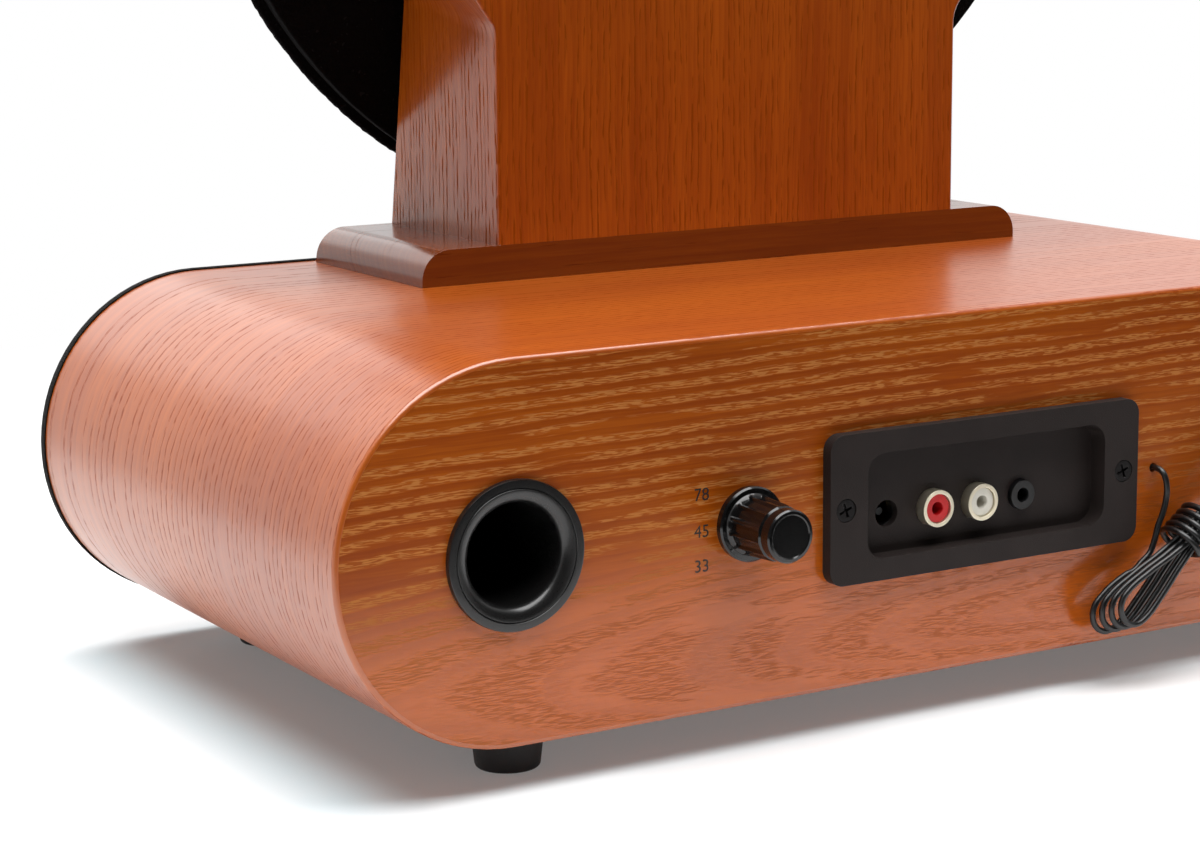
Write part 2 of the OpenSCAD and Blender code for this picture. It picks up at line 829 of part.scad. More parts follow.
module speed_shaft() {
    color("#a9a9aa") on_rear(speed_x, inside_y - switch_d + 4.5, speed_z)
        cylinder(d = speed_shaft_d, h = switch_d - 4.5 + rear_t + speed_off + shaft_grip);
}

module speed_knob() {
    flange_t = 2.2;
    cap_l = 3.2;
    body_l = speed_l - flange_t - cap_l;
    neck_d = speed_tip_d + 0.4;
    color("#0d0d0e") on_rear(speed_x, speed_y, speed_z) rotate(speed_rest) difference() {
        union() {
            cylinder(d = speed_flange_d, h = flange_t);
            translate([speed_flange_d / 2 - 1, -1.2, 0]) cube([2.2, 2.4, flange_t]);
            translate([0, 0, flange_t]) cylinder(d1 = speed_body_d, d2 = neck_d, h = body_l);
            translate([0, 0, flange_t + body_l]) cylinder(d = speed_tip_d, h = cap_l);
        }
        translate([0, 0, -past]) cylinder(d = speed_shaft_d + 2 * run, h = shaft_grip + fit + past);
        for (k = [0:flute_n - 1]) rotate(360 * (k + 0.5) / flute_n)
            translate([(speed_body_d + neck_d) / 4 - 0.2, -0.6, flange_t + 0.6])
                cube([2, 1.2, body_l - 1.2]);
    }
}

// Aerial wire: a lead out of the rear panel and a hank tied with the wire's own end.
// A path is swept into a tube by carrying a ring's direction along it.

function path_tangents(path) = let(n = len(path)) [
    for (i = [0:n - 1]) unit(path[min(i + 1, n - 1)] - path[max(i - 1, 0)])
];
function carried(v, t) = unit(v - t * (v * t));
function ring_normals(tangents, first) = [
    for (i = 0, v = carried(first, tangents[0]); i < len(tangents);
         i = i + 1, v = i < len(tangents) ? carried(v, tangents[i]) : v) v
];

module wire_tube(path, d, sides, first) {
    tangents = path_tangents(path);
    normals = ring_normals(tangents, first);
    rings = len(path);
    points = [for (i = [0:rings - 1], k = [0:sides - 1])
        path[i] + d / 2 * (cos(360 * k / sides) * normals[i]
            + sin(360 * k / sides) * cross(tangents[i], normals[i]))];
    side_faces = [for (i = [0:rings - 2], k = [0:sides - 1], half = [0, 1])
        let(a = i * sides + k, b = i * sides + (k + 1) % sides)
        half == 0 ? [a, a + sides, b] : [b, a + sides, b + sides]];
    last = (rings - 1) * sides;
    caps = [for (k = [1:sides - 2], end = [0, 1])
        end == 0 ? [0, k, k + 1] : [last, last + k + 1, last + k]];
    polyhedron(points, concat(side_faces, caps));
}

function hank_point(v) = hank_at + hank_along * v[0] + hank_across * v[1] + hank_out * v[2];
function soft(s) = s * s * (3 - 2 * s);
function layer(i) = (i - (hank_loops - 1) / 2) * hank_step;
function half_of(i) = hank_half - hank_short * i;
// Half the width of a loop at a share of the way from the waist to the fold
function half_width(s) = hank_step / 2 + (fold_r - hank_step / 2) * soft(abs(s));

// One loop: down one side, round the lower fold, up the other side, round the upper fold,
// and back to the waist while it climbs to the next layer
function loop_points(i) = let(h = half_of(i), c = layer(i), third = [1 / 3, 2 / 3]) concat(
    i == 0 ? [for (a = [hank_start, hank_start + 2 * wire_d]) [a, half_width(hank_start / h), c]]
           : [for (s = [0, third[0]]) [h * s, half_width(s), c]],
    [[h * third[1], half_width(third[1]), c]],
    [for (turn = [90:-30:-90]) [h + fold_r * cos(turn), fold_r * sin(turn), c]],
    [for (s = [third[1], third[0], 0, -third[0], -third[1]]) [h * s, -half_width(s), c]],
    [for (turn = [-90:30:90]) [-h - fold_r * cos(turn), fold_r * sin(turn), c]],
    [for (s = i == hank_loops - 1 ? [third[1]] : [third[1], third[0]])
        [-h * s, half_width(s), c + hank_step * soft(1.2 * (1 - s))]]
);

// The end of the wire bends across the bundle and is wound round its waist
function wrap_point(a, turn) = [a, wrap_across * cos(turn), wrap_out * sin(turn)];
wrap_mean = (wrap_across + wrap_out) / 2;
function wrap_points() = let(lead_in = wrap_bend * 180 / PI / wrap_mean) concat(
    [for (k = [0:30:60])
        wrap_point(wrap_low - wrap_bend * (1 - sin(k)), wrap_angle + lead_in * (1 - cos(k)))],
    [for (j = [0:wrap_turns * rings_per_loop]) let(turns = j / rings_per_loop)
        wrap_point(wrap_low + hank_step * turns, wrap_angle + lead_in + 360 * turns)]
);

function hank_path() = [
    for (v = concat([for (i = [0:hank_loops - 1], v = loop_points(i)) v], wrap_points())) hank_point(v)
];

// Points between the rings, and the least gap of the wire to itself beyond its own bends
function between(path, n) = [
    for (i = [0:len(path) - 2], k = [0:n - 1]) path[i] + (path[i + 1] - path[i]) * k / n
];
function least_gap(path, skip) = min([
    for (i = [0:len(path) - 1 - skip], j = [i + skip:len(path) - 1]) norm(path[i] - path[j])
]) - wire_d;

// Route of the lead: out of its hole, down past the tie, and in line with the start of the hank
function lead_path() = let(start_across = half_width(hank_start / hank_half)) concat(
    [for (v = [
        [0, -wire_hole, 0], [0, 0, 0], [0, 2, 0], [-0.2, 3.6, -0.8], [-0.4, 4.5, -2.4], [-0.6, 4.8, -4.6]
    ]) [wire_x, back_y, wire_z] + v],
    [for (v = [
        [-1.5, 11, -3], [1.5, 8.6, -3.1], [4.6, 6.8, -3.2], [6.9, 5, layer(0)], [9, 3.6, layer(0)],
        [hank_start - 2 * wire_d, start_across, layer(0)], [hank_start, start_across, layer(0)]
    ]) hank_point(v)]
);

module antenna_lead() { color("#141414") wire_tube(lead_path(), wire_d, 8, [1, 0, 0]); }

module antenna_hank() {
    path = hank_path();
    echo(least_gap_of_hank = least_gap(between(path, 3), 15));
    color("#141414") wire_tube(path, wire_d, 6, hank_out);
}

// Amplifier

module at_standoffs() {
    for (x = [-1, 1] * (amp_w / 2 - standoff_in), y = [-1, 1] * (amp_l / 2 - standoff_in))
        translate([x, amp_y + y, inside_z]) children();
}

module board_standoffs() { color("#c9c4b4") at_standoffs() cylinder(d = standoff_d, h = standoff_h); }

module main_board() {
    color("#1f5a35") translate([-amp_w / 2, amp_y - amp_l / 2, inside_z + standoff_h])
        cube([amp_w, amp_l, board_t]);
}

module heat_sink() {
    color("#9a9b9d") translate([0, amp_y, inside_z + standoff_h + board_t]) {
        translate([-sink_w / 2, -sink_l / 2, 0]) cube([sink_w, sink_l, 4]);
        for (k = [0:fin_n - 1]) translate([k * (sink_w - fin_t) / (fin_n - 1) - sink_w / 2, -sink_l / 2, 3])
            cube([fin_t, sink_l, sink_h - 3]);
    }
}

// Control panel on the front

module at_knobs(sides = [-1, 1]) { for (side = sides) on_front(side * knob_x, front_y, knob_z) children(); }
module at_buttons(places = [-1, 0, 1]) {
    for (k = places) on_front(k * button_pitch, front_y, button_z) children();
}

module control_panel() {
    color("#17171a") difference() {
        slab(panel_y, front_y) panel_outline(0);
        slab(panel_y - past, panel_y + window_t) translate([0, window_z])
            round_rect(window_w + 2 * fit, window_h + 2 * fit, window_r);
        slab(panel_y, front_y + past) translate([0, window_z])
            round_rect(window_w - 2 * window_r, window_h - 2 * window_r, window_r - 1);
        at_knobs() translate([0, 0, -past]) cylinder(d = knob_shaft_d + 2 * run, h = panel_t + 2 * past);
        at_buttons() translate([0, 0, -past]) cylinder(d = button_d + 2 * fit, h = panel_t + 2 * past);
    }
}

module display_window() {
    color("#0a0b0d") slab(panel_y, panel_y + window_t) translate([0, window_z])
        round_rect(window_w, window_h, window_r);
}

module control_pots() {
    color("#4a4b4d") at_knobs() translate([0, 0, -pot_l]) difference() {
        cylinder(d = pot_d, h = pot_l);
        translate([0, 0, 2]) cylinder(d = knob_shaft_d + 2 * run, h = pot_l);
    }
}

module control_board() {
    color("#1f5a35") slab(control_board_y, control_board_y + board_t) translate([0, mid_z])
        round_rect(cutout_w - 2 * past, cutout_h - 2 * past, cutout_r);
}

module tact_switches() {
    tact_h = pot_l - button_rim_t - fit - button_stem - button_travel - 0.3;
    color("#55565a") at_buttons() translate([-tact_w / 2, -tact_w / 2, -pot_l])
        cube([tact_w, tact_w, tact_h]);
}

module front_knob(side) {
    color("#131315") at_knobs([side]) {
        translate([0, 0, panel_t + knob_off]) difference() {
            union() {
                cylinder(d = knob_d, h = knob_l - 1.5);
                translate([0, 0, knob_l - 1.5]) cylinder(d1 = knob_d, d2 = knob_d - 3, h = 1.5);
            }
            translate([0, knob_d / 2 - 6, knob_l - 0.6]) translate([-0.6, 0, 0]) cube([1.2, 8, 2]);
        }
        translate([0, 0, 2.5 - pot_l]) cylinder(d = knob_shaft_d, h = pot_l - 2.5 + panel_t + knob_off + 1);
    }
}

module volume_knob() { front_knob(1); }
module tuning_knob() { front_knob(-1); }

module push_button(place) {
    color("#232326") at_buttons([place]) {
        translate([0, 0, -fit]) cylinder(d = button_d, h = panel_t + button_proud + fit);
        translate([0, 0, -button_rim_t - fit]) cylinder(d = button_d + 2 * button_rim, h = button_rim_t);
        translate([0, 0, -button_rim_t - fit - button_stem]) cylinder(d = button_d / 2, h = button_stem);
    }
}

module power_button() { push_button(-1); }
module source_button() { push_button(0); }
module skip_button() { push_button(1); }

// Tower

module at_bolts() {
    for (side = [-1, 1], y = bolt_rows) translate([side * bolt_x, y, 0]) children();
}

// The space behind the tower's face, between two depths
module behind_face(from, to) {
    on_face(0, 0, -to) translate([-far / 2, -far / 2, 0]) cube([far, far, to - from]);
}

module tower_outline() {
    polygon(rounded([
        [-neck_w / 2, plinth_top, 0], [neck_w / 2, plinth_top, 0],
        [neck_w / 2, flare_z, bend_r], [head_w / 2, shoulder_z, shoulder_r],
        [head_w / 2, head_top, head_r], [-head_w / 2, head_top, head_r],
        [-head_w / 2, shoulder_z, shoulder_r], [-neck_w / 2, flare_z, bend_r]
    ]));
}

module cavity_outline() {
    spread = cavity_w / 2 + (cavity_top - flare_z) * tan(flare);
    polygon([
        [-cavity_w / 2, cavity_z], [cavity_w / 2, cavity_z], [cavity_w / 2, flare_z],
        [spread, cavity_top], [-spread, cavity_top], [-cavity_w / 2, flare_z]
    ]);
}

module tower_plinth() {
    color("#8e4420") difference() {
        intersection() {
            slab(tower_front_y - past, tower_back_y) union() {
                translate([-plinth_w / 2 + plinth_r, base_top]) square([plinth_w - 2 * plinth_r, plinth_h]);
                translate([-plinth_w / 2, base_top]) square([plinth_w, plinth_h - plinth_r]);
                for (side = [-1, 1])
                    translate([side * (plinth_w / 2 - plinth_r), plinth_top - plinth_r]) circle(plinth_r);
            }
            behind_face(0, far);
            translate([-far / 2, -far / 2, base_top]) cube([far, far, plinth_h]);
        }
        at_bolts() translate([0, 0, base_top - past])
            cylinder(d = bolt_d + 2 * fit, h = plinth_h + 2 * past);
    }
}

module tower_case() {
    color("#b05c26") difference() {
        intersection() {
            slab(tower_back_y - far, tower_back_y) tower_outline();
            behind_face(face_t, far);
        }
        slab(tower_back_y - far, tower_back_y - case_back) cavity_outline();
        at_bolts() translate([0, 0, plinth_top - past]) cylinder(d = bolt_d, h = bolt_bite + fit + past);
    }
}

module tower_face() {
    color("#b05c26") difference() {
        intersection() {
            slab(tower_back_y - far, tower_back_y) tower_outline();
            behind_face(0, face_t);
        }
        on_face(0, 0, -face_t - past) cylinder(d = bearing_d + 2 * fit, h = face_t + 2 * past);
        on_face(0, -motor_drop, -face_t - past)
            cylinder(d = pulley_d + 2 * pulley_clear, h = face_t + 2 * past);
        on_face(arm_p, arm_q, -face_t - past) cylinder(d = boss_d + 2 * fit, h = face_t + 2 * past);
    }
}

module tower_bolts() {
    color("#8d8e90") at_bolts() {
        translate([0, 0, base_top - shell_t])
            cylinder(d = bolt_d - 2 * fit, h = shell_t + plinth_h + bolt_bite);
        translate([0, 0, base_top - shell_t - bolt_head_h]) cylinder(d = bolt_head_d, h = bolt_head_h);
    }
}

// Platter and drive

module bearing_housing() {
    color("#b8a46a") on_face(0, 0, 0) difference() {
        union() {
            translate([0, 0, -bearing_l]) cylinder(d = bearing_d, h = bearing_l);
            cylinder(d = bearing_d + 12, h = bearing_flange);
        }
        translate([0, 0, -bearing_l + 2]) cylinder(d = shaft_d + 2 * run, h = bearing_l);
    }
}

module platter_shaft() {
    tip = 2;
    color("#c8c9cb") on_face(0, 0, 0) {
        translate([0, 0, -bearing_l + 2.3]) cylinder(d = shaft_d, h = bearing_l - 2.3 + platter_top);
        translate([0, 0, platter_top - past])
            cylinder(d = spindle_d, h = spindle_tip - tip - platter_top + past);
        translate([0, 0, spindle_tip - tip]) cylinder(d1 = spindle_d, d2 = spindle_d - 2 * tip, h = tip);
    }
}

module platter() {
    color("#121213") on_face(0, 0, 0) difference() {
        union() {
            translate([0, 0, platter_off]) cylinder(d = platter_d, h = platter_t);
            translate([0, 0, ring_low]) cylinder(d = ring_d, h = platter_off - ring_low + past);
        }
        cylinder(d = shaft_d + 2 * run, h = far);
    }
}

module felt_mat() {
    color("#0e0e0f") on_face(0, 0, platter_top) difference() {
        cylinder(d = mat_d, h = mat_t);
        translate([0, 0, -past]) cylinder(d = spindle_d + 2 * free, h = mat_t + 2 * past);
    }
}

module record_clamp() {
    color("#1a1a1b") on_face(0, 0, clamp_low) difference() {
        union() {
            cylinder(d = clamp_d, h = clamp_h - 3);
            translate([0, 0, clamp_h - 3]) cylinder(d1 = clamp_d, d2 = clamp_d - 6, h = 3);
        }
        translate([0, 0, -past]) cylinder(d = spindle_d + 2 * run, h = clamp_bore + past);
    }
}

module drive_motor() {
    color("#a3a4a6") on_face(0, -motor_drop, -face_t - motor_l) difference() {
        cylinder(d = motor_d, h = motor_l);
        translate([0, 0, 4]) cylinder(d = 2 + 2 * run, h = motor_l);
    }
}

module motor_pulley() {
    color("#c2a44f") on_face(0, -motor_drop, 0) {
        translate([0, 0, -face_t - motor_l + 4.5]) cylinder(d = 2, h = face_t + motor_l);
        translate([0, 0, -face_t + free]) cylinder(d = pulley_d, h = face_t - free + platter_off - free);
    }
}

// The closed outline of a belt round the drive ring and the pulley, at a distance from both
function belt_points(gap) = let(
    big = ring_r + gap,
    small = pulley_r + gap,
    tilt = asin((big - small) / motor_drop),
    n = 48
) concat(
    [for (i = [0:n]) let(a = -tilt + (180 + 2 * tilt) * i / n) big * [cos(a), sin(a)]],
    [for (i = [0:n / 4]) let(a = 180 + tilt + (180 - 2 * tilt) * i / (n / 4))
        [small * cos(a), small * sin(a) - motor_drop]]
);

module drive_belt() {
    color("#1c1c1c") on_face(0, 0, belt_low) linear_extrude(belt_w) difference() {
        polygon(belt_points(free + belt_t));
        polygon(belt_points(free));
    }
}

// Tonearm

module arm_turret() {
    color("#2a2a2c") on_arm(0, 0) difference() {
        union() {
            cylinder(d = turret_d, h = turret_h);
            cylinder(d = turret_d + 6, h = 3);
            translate([0, 0, -face_t]) cylinder(d = boss_d, h = face_t + past);
        }
        translate([0, 0, 2]) cylinder(d = post_d + 2 * run, h = turret_h);
    }
}

module arm_yoke() {
    reach = arm_w + cheek_top;
    color("#b7b8ba") on_arm(0, 0) difference() {
        union() {
            translate([0, 0, 2.3]) cylinder(d = post_d, h = yoke_low - 2);
            translate([0, 0, yoke_low]) cylinder(d = yoke_d, h = yoke_t);
            for (side = [-1, 1])
                translate([-cheek_l / 2, side * (block_w / 2 + free + cheek_t / 2) - cheek_t / 2, yoke_low])
                    cube([cheek_l, cheek_t, reach - yoke_low]);
        }
        translate([0, 0, arm_w]) rotate([90, 0, 0])
            cylinder(d = pivot_d + 2 * run, h = yoke_d + 2 * cheek_t, center = true);
    }
}

module arm_tube() {
    shell_back = arm_reach - shell_l / 2;
    color("#c9cacc") on_arm(0, arm_w) {
        translate([-block_l / 2, -block_w / 2, -block_h / 2]) cube([block_l, block_w, block_h]);
        rotate([90, 0, 0]) cylinder(d = pivot_d, h = block_w + 2 * (free + cheek_t), center = true);
        rotate([0, 90, 0]) cylinder(d = arm_d, h = shell_back);
        translate([-stub_l, 0, 0]) rotate([0, 90, 0]) cylinder(d = stub_d, h = stub_l);
    }
}

module counterweight() {
    color("#3a3b3d") on_arm(-stub_in - weight_l, arm_w) rotate([0, 90, 0]) difference() {
        cylinder(d = weight_d, h = weight_l);
        translate([0, 0, -past]) cylinder(d = stub_d + 2 * run, h = weight_l + 2 * past);
    }
}

// The headshell with its collar, finger lift, cartridge and stylus, turned to the groove
module headshell() {
    cart_top = arm_w - shell_plate;
    color("#1d1d1f") {
        on_arm(arm_reach - shell_l / 2, arm_w) rotate([0, 90, 0]) difference() {
            translate([0, 0, -collar_l]) cylinder(d = arm_d + 3, h = collar_l + collar_end);
            translate([0, 0, -collar_l - past]) cylinder(d = arm_d + 2 * run, h = collar_l + past);
        }
        on_arm(arm_reach, 0) rotate(-shell_angle) {
            translate([4 - shell_l / 2, -shell_w / 2, cart_top]) cube([shell_l - 10, shell_w, shell_plate]);
            translate([shell_l / 2 - 12, shell_w / 2 - 2, cart_top]) cube([3, 14, shell_plate]);
            translate([-cart_l / 2 - 3, -cart_w / 2, stylus_w + stylus_h])
                cube([cart_l, cart_w, cart_top - stylus_w - stylus_h]);
            translate([0, 0, stylus_w]) cylinder(d1 = 0.6, d2 = 3, h = stylus_h);
        }
    }
}

module arm_rest() {
    ledge_top = arm_w - arm_d / 2 - ledge_gap;
    post_y = arm_d / 2 + rest_post_d / 2 + 1.5;
    color("#2a2a2c") on_arm(rest_x, 0) {
        translate([0, post_y, 0]) cylinder(d = rest_post_d, h = arm_w + 3);
        translate([-rest_post_d / 2, -arm_d / 2, ledge_top - 3]) cube([rest_post_d, arm_d / 2 + post_y, 3]);
        translate([0, post_y, 0]) cylinder(d = rest_post_d + 6, h = 2);
    }
}

cabinet_shell();
rear_panel();
front_baffle();
grille_frame();
grille_cloth();
rubber_feet();
foot_screws();
speaker_basket_left();
speaker_cone_left();
speaker_basket_right();
speaker_cone_right();
speaker_magnets();
speaker_screws();
bass_port_left();
bass_port_right();
jack_plate();
plate_screws();
dc_jack();
rca_shells();
rca_insert_red();
rca_insert_white();
aux_jack();
jack_board();
speed_switch();
switch_nut();
speed_shaft();
speed_knob();
antenna_lead();
antenna_hank();
board_standoffs();
main_board();
heat_sink();
control_panel();
display_window();
control_pots();
control_board();
tact_switches();
volume_knob();
tuning_knob();
power_button();
source_button();
skip_button();
tower_plinth();
tower_case();
tower_face();
tower_bolts();
bearing_housing();
platter_shaft();
platter();
felt_mat();
record_clamp();
drive_motor();
motor_pulley();
drive_belt();
arm_turret();
arm_yoke();
arm_tube();
counterweight();
headshell();
arm_rest();
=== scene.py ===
import json
import math

import bmesh
import bpy
from bpy.props import FloatProperty, FloatVectorProperty, IntProperty, PointerProperty
from mathutils import Matrix, Vector, noise

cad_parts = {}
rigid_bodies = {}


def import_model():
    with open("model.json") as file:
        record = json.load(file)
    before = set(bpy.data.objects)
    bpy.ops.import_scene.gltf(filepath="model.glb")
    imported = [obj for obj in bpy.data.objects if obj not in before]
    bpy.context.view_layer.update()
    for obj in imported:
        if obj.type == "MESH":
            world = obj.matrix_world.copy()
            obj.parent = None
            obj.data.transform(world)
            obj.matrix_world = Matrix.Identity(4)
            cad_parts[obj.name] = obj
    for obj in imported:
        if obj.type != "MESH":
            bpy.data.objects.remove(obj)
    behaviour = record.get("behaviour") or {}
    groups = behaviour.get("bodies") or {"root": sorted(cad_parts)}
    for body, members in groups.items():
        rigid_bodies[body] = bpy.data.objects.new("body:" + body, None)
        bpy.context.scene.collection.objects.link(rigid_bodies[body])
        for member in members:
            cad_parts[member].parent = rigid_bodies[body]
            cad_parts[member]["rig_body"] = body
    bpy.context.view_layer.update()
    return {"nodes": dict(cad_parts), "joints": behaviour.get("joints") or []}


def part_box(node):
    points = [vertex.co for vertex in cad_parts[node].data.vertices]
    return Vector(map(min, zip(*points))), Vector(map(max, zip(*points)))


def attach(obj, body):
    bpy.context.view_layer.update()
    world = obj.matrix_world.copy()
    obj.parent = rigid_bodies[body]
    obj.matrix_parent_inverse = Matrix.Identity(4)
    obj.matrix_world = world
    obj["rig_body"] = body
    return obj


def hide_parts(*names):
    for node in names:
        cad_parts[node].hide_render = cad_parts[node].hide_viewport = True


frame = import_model()

bl_info = {
    "name": "Upright record player",
    "version": (1, 0, 0),
    "blender": (4, 5, 0),
    "location": "View3D > Sidebar > Record player",
    "description": "Dresses the packed record player: finishes, soft edges, aerial wire and studio",
    "category": "Object",
}

MM = 0.001
UP = Vector((0.0, 0.0, 1.0))
BACKWARDS = Vector((0.0, 1.0, 0.0))
SAME_PLACE = 0.002 * MM
SHARP = math.radians(48.0)
SHARP_TURNED = math.radians(38.0)
SHARP_CLOTH = math.radians(60.0)
JOINTS = {joint["name"]: joint for joint in frame["joints"]}
SLOTS = {name: thing.data.materials[0].name.split(".")[0] for name, thing in frame["nodes"].items()}

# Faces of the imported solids, in metres
REAR_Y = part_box("rear_panel")[1].y
SHELL_LOW, SHELL_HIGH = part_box("cabinet_shell")
BASE_RADIUS = (SHELL_HIGH.z - SHELL_LOW.z) / 2
BASE_MIDDLE = (SHELL_HIGH.z + SHELL_LOW.z) / 2
BASE_END = SHELL_HIGH.x - BASE_RADIUS
PLINTH_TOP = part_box("tower_plinth")[1].z
TOWER_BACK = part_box("tower_case")[1].y

# The platter's axis, which stands square to the tower's leaning face
SPINDLE = Vector(JOINTS["platter_spin"]["pos_m"])
FACE_OUT = Vector(JOINTS["platter_spin"]["axis"]).normalized()
FACE_UP = FACE_OUT.cross(Vector((1.0, 0.0, 0.0))).normalized()


def length_property(name, description, default):
    return FloatProperty(name=name, description=description, default=default, unit="LENGTH")


def colour_property(name, description, default):
    return FloatVectorProperty(name=name, description=description, default=default, size=3,
                               subtype="COLOR", min=0.0, max=1.0)


class PlayerSizes(bpy.types.PropertyGroup):
    """Sizes of the pieces that the dressing adds"""

    rim_round: length_property("Rim rounding", "Rounding of the shell's rear rim", 1.15 * MM)
    wood_round: length_property("Wood rounding", "Rounding of the tower's edges", 0.9 * MM)
    plastic_round: length_property("Plastic rounding", "Rounding of moulded edges", 0.45 * MM)
    metal_round: length_property("Metal rounding", "Rounding of turned and milled edges", 0.3 * MM)
    numeral_height: length_property("Numeral height", "Height of the printed speeds", 3.1 * MM)
    wire_diameter: length_property("Wire diameter", "Diameter of the aerial wire", 1.6 * MM)
    knob_ribs: IntProperty(name="Knob ribs", description="Ribs round a front knob", default=48)
    speed_ribs: IntProperty(name="Speed knob ribs", description="Ribs along the speed knob", default=12)


class PlayerColours(bpy.types.PropertyGroup):
    """Colours of the wood, the black parts and the sockets"""

    wood_light: colour_property("Light wood", "Late wood in the light", (0.53, 0.122, 0.0045))
    wood_mid: colour_property("Wood", "Main tone of the stained wood", (0.42, 0.082, 0.0018))
    wood_dark: colour_property("Dark wood", "Dark streaks of the wood", (0.28, 0.041, 0.0009))
    wood_pore: colour_property("Open pores", "Filled pores of the wood", (0.47, 0.175, 0.042))
    heart_pore: colour_property("Heart pores", "Pores near the heart", (0.25, 0.060, 0.011))
    felt: colour_property("Felt", "Mat and flocked platter", (0.0012, 0.0012, 0.0013))
    socket_red: colour_property("Red socket", "Insert of the right line socket", (0.55, 0.010, 0.012))
    socket_white: colour_property("White socket", "Insert of the left line socket", (0.80, 0.77, 0.68))


class StudioSettings(bpy.types.PropertyGroup):
    """Level of the studio's light"""

    ambient: FloatProperty(name="Ambient", description="Light from all round", default=0.05)
    key_power: FloatProperty(name="Key light", description="Soft light above and behind",
                             default=146.0, unit="POWER")
    key_size: length_property("Key size", "Side of the key light", 2.6)
    back_power: FloatProperty(name="Back light", description="Low soft light in front of the grille",
                              default=2.3, unit="POWER")
    floor_tone: FloatProperty(name="Floor", description="Paleness of the floor", default=0.92,
                              min=0.0, max=1.0)


# Shader expressions


def arithmetic(operation):
    """A method that adds a Math node of one kind"""
    def method(self, other):
        return self.math(operation, other)
    return method


class Shade:
    """An output of a node tree. Arithmetic on it adds Math nodes to the tree."""

    def __init__(self, tree, socket):
        self.tree = tree
        self.socket = socket

    def math(self, operation, *others):
        values = dict(enumerate((self,) + others))
        return self.tree.node("Math", {"operation": operation}, values)

    def __rsub__(self, other):
        return self.math("MULTIPLY_ADD", -1.0, other)

    __add__ = __radd__ = arithmetic("ADD")
    __sub__ = arithmetic("SUBTRACT")
    __mul__ = __rmul__ = arithmetic("MULTIPLY")
    __truediv__ = arithmetic("DIVIDE")
    __pow__ = arithmetic("POWER")


class ShaderTree:
    """A node tree of a material or of the world"""

    def __init__(self, node_tree):
        self.nodes = node_tree.nodes
        self.links = node_tree.links
        self.nodes.clear()

    def node(self, kind, settings=None, sockets=None, output=0):
        """Adds a node, sets its settings, then fills its sockets, and returns one of its outputs"""
        node = self.nodes.new("ShaderNode" + kind)
        for key, value in (settings or {}).items():
            setattr(node, key, value)
        for key, value in (sockets or {}).items():
            if isinstance(value, Shade):
                self.links.new(value.socket, node.inputs[key])
            else:
                node.inputs[key].default_value = value
        return Shade(self, node.outputs[output]) if node.outputs else None

    def place(self):
        return self.node("TexCoord", output="Object")

    def parts(self, vector=None):
        """The three parts of a vector, or of the place on the object"""
        first = self.node("SeparateXYZ", sockets={"Vector": vector or self.place()})
        return [Shade(self, socket) for socket in first.socket.node.outputs]

    def ray(self, kind):
        return self.node("LightPath", output="Is " + kind + " Ray")

    def join(self, x, y, z):
        return self.node("CombineXYZ", sockets={0: x, 1: y, 2: z})

    def noise(self, vector, scale=1.0, detail=0.0):
        sockets = {"Vector": vector, "Scale": scale, "Detail": detail}
        return self.node("TexNoise", sockets=sockets)

    def cells(self, vector, scale):
        return self.node("TexVoronoi", sockets={"Vector": vector, "Scale": scale})

    def smooth(self, value, low, high):
        ranges = {"Value": value, "From Min": low, "From Max": high}
        return self.node("MapRange", {"interpolation_type": "SMOOTHSTEP"}, ranges)

    def mix(self, factor, first, second):
        colours = [c if isinstance(c, Shade) else (*c, 1.0) for c in (first, second)]
        sockets = {0: factor, 6: colours[0], 7: colours[1]}
        return self.node("Mix", {"data_type": "RGBA"}, sockets, output=2)

    def bump(self, height, strength, depth):
        sockets = {"Height": height, "Strength": strength, "Distance": depth}
        return self.node("Bump", sockets=sockets)


class Finish(ShaderTree):
    """A material that ends in one Principled shader"""

    def __init__(self, name):
        self.material = bpy.data.materials.new(name)
        self.material.use_nodes = True
        super().__init__(self.material.node_tree)

    def close(self, **inputs):
        """Sets the shader's sockets from names with underscores and links it to the output"""
        sockets = {}
        for key, value in inputs.items():
            sockets[key.replace("_", " ").title().replace("Ior", "IOR")] = value
        shader = self.node("BsdfPrincipled", sockets=sockets)
        self.node("OutputMaterial", sockets={"Surface": shader})
        return self.material


# Finishes


def colours():
    return bpy.context.scene.player_colours


def scaled(colour, share):
    return [share * part for part in colour]


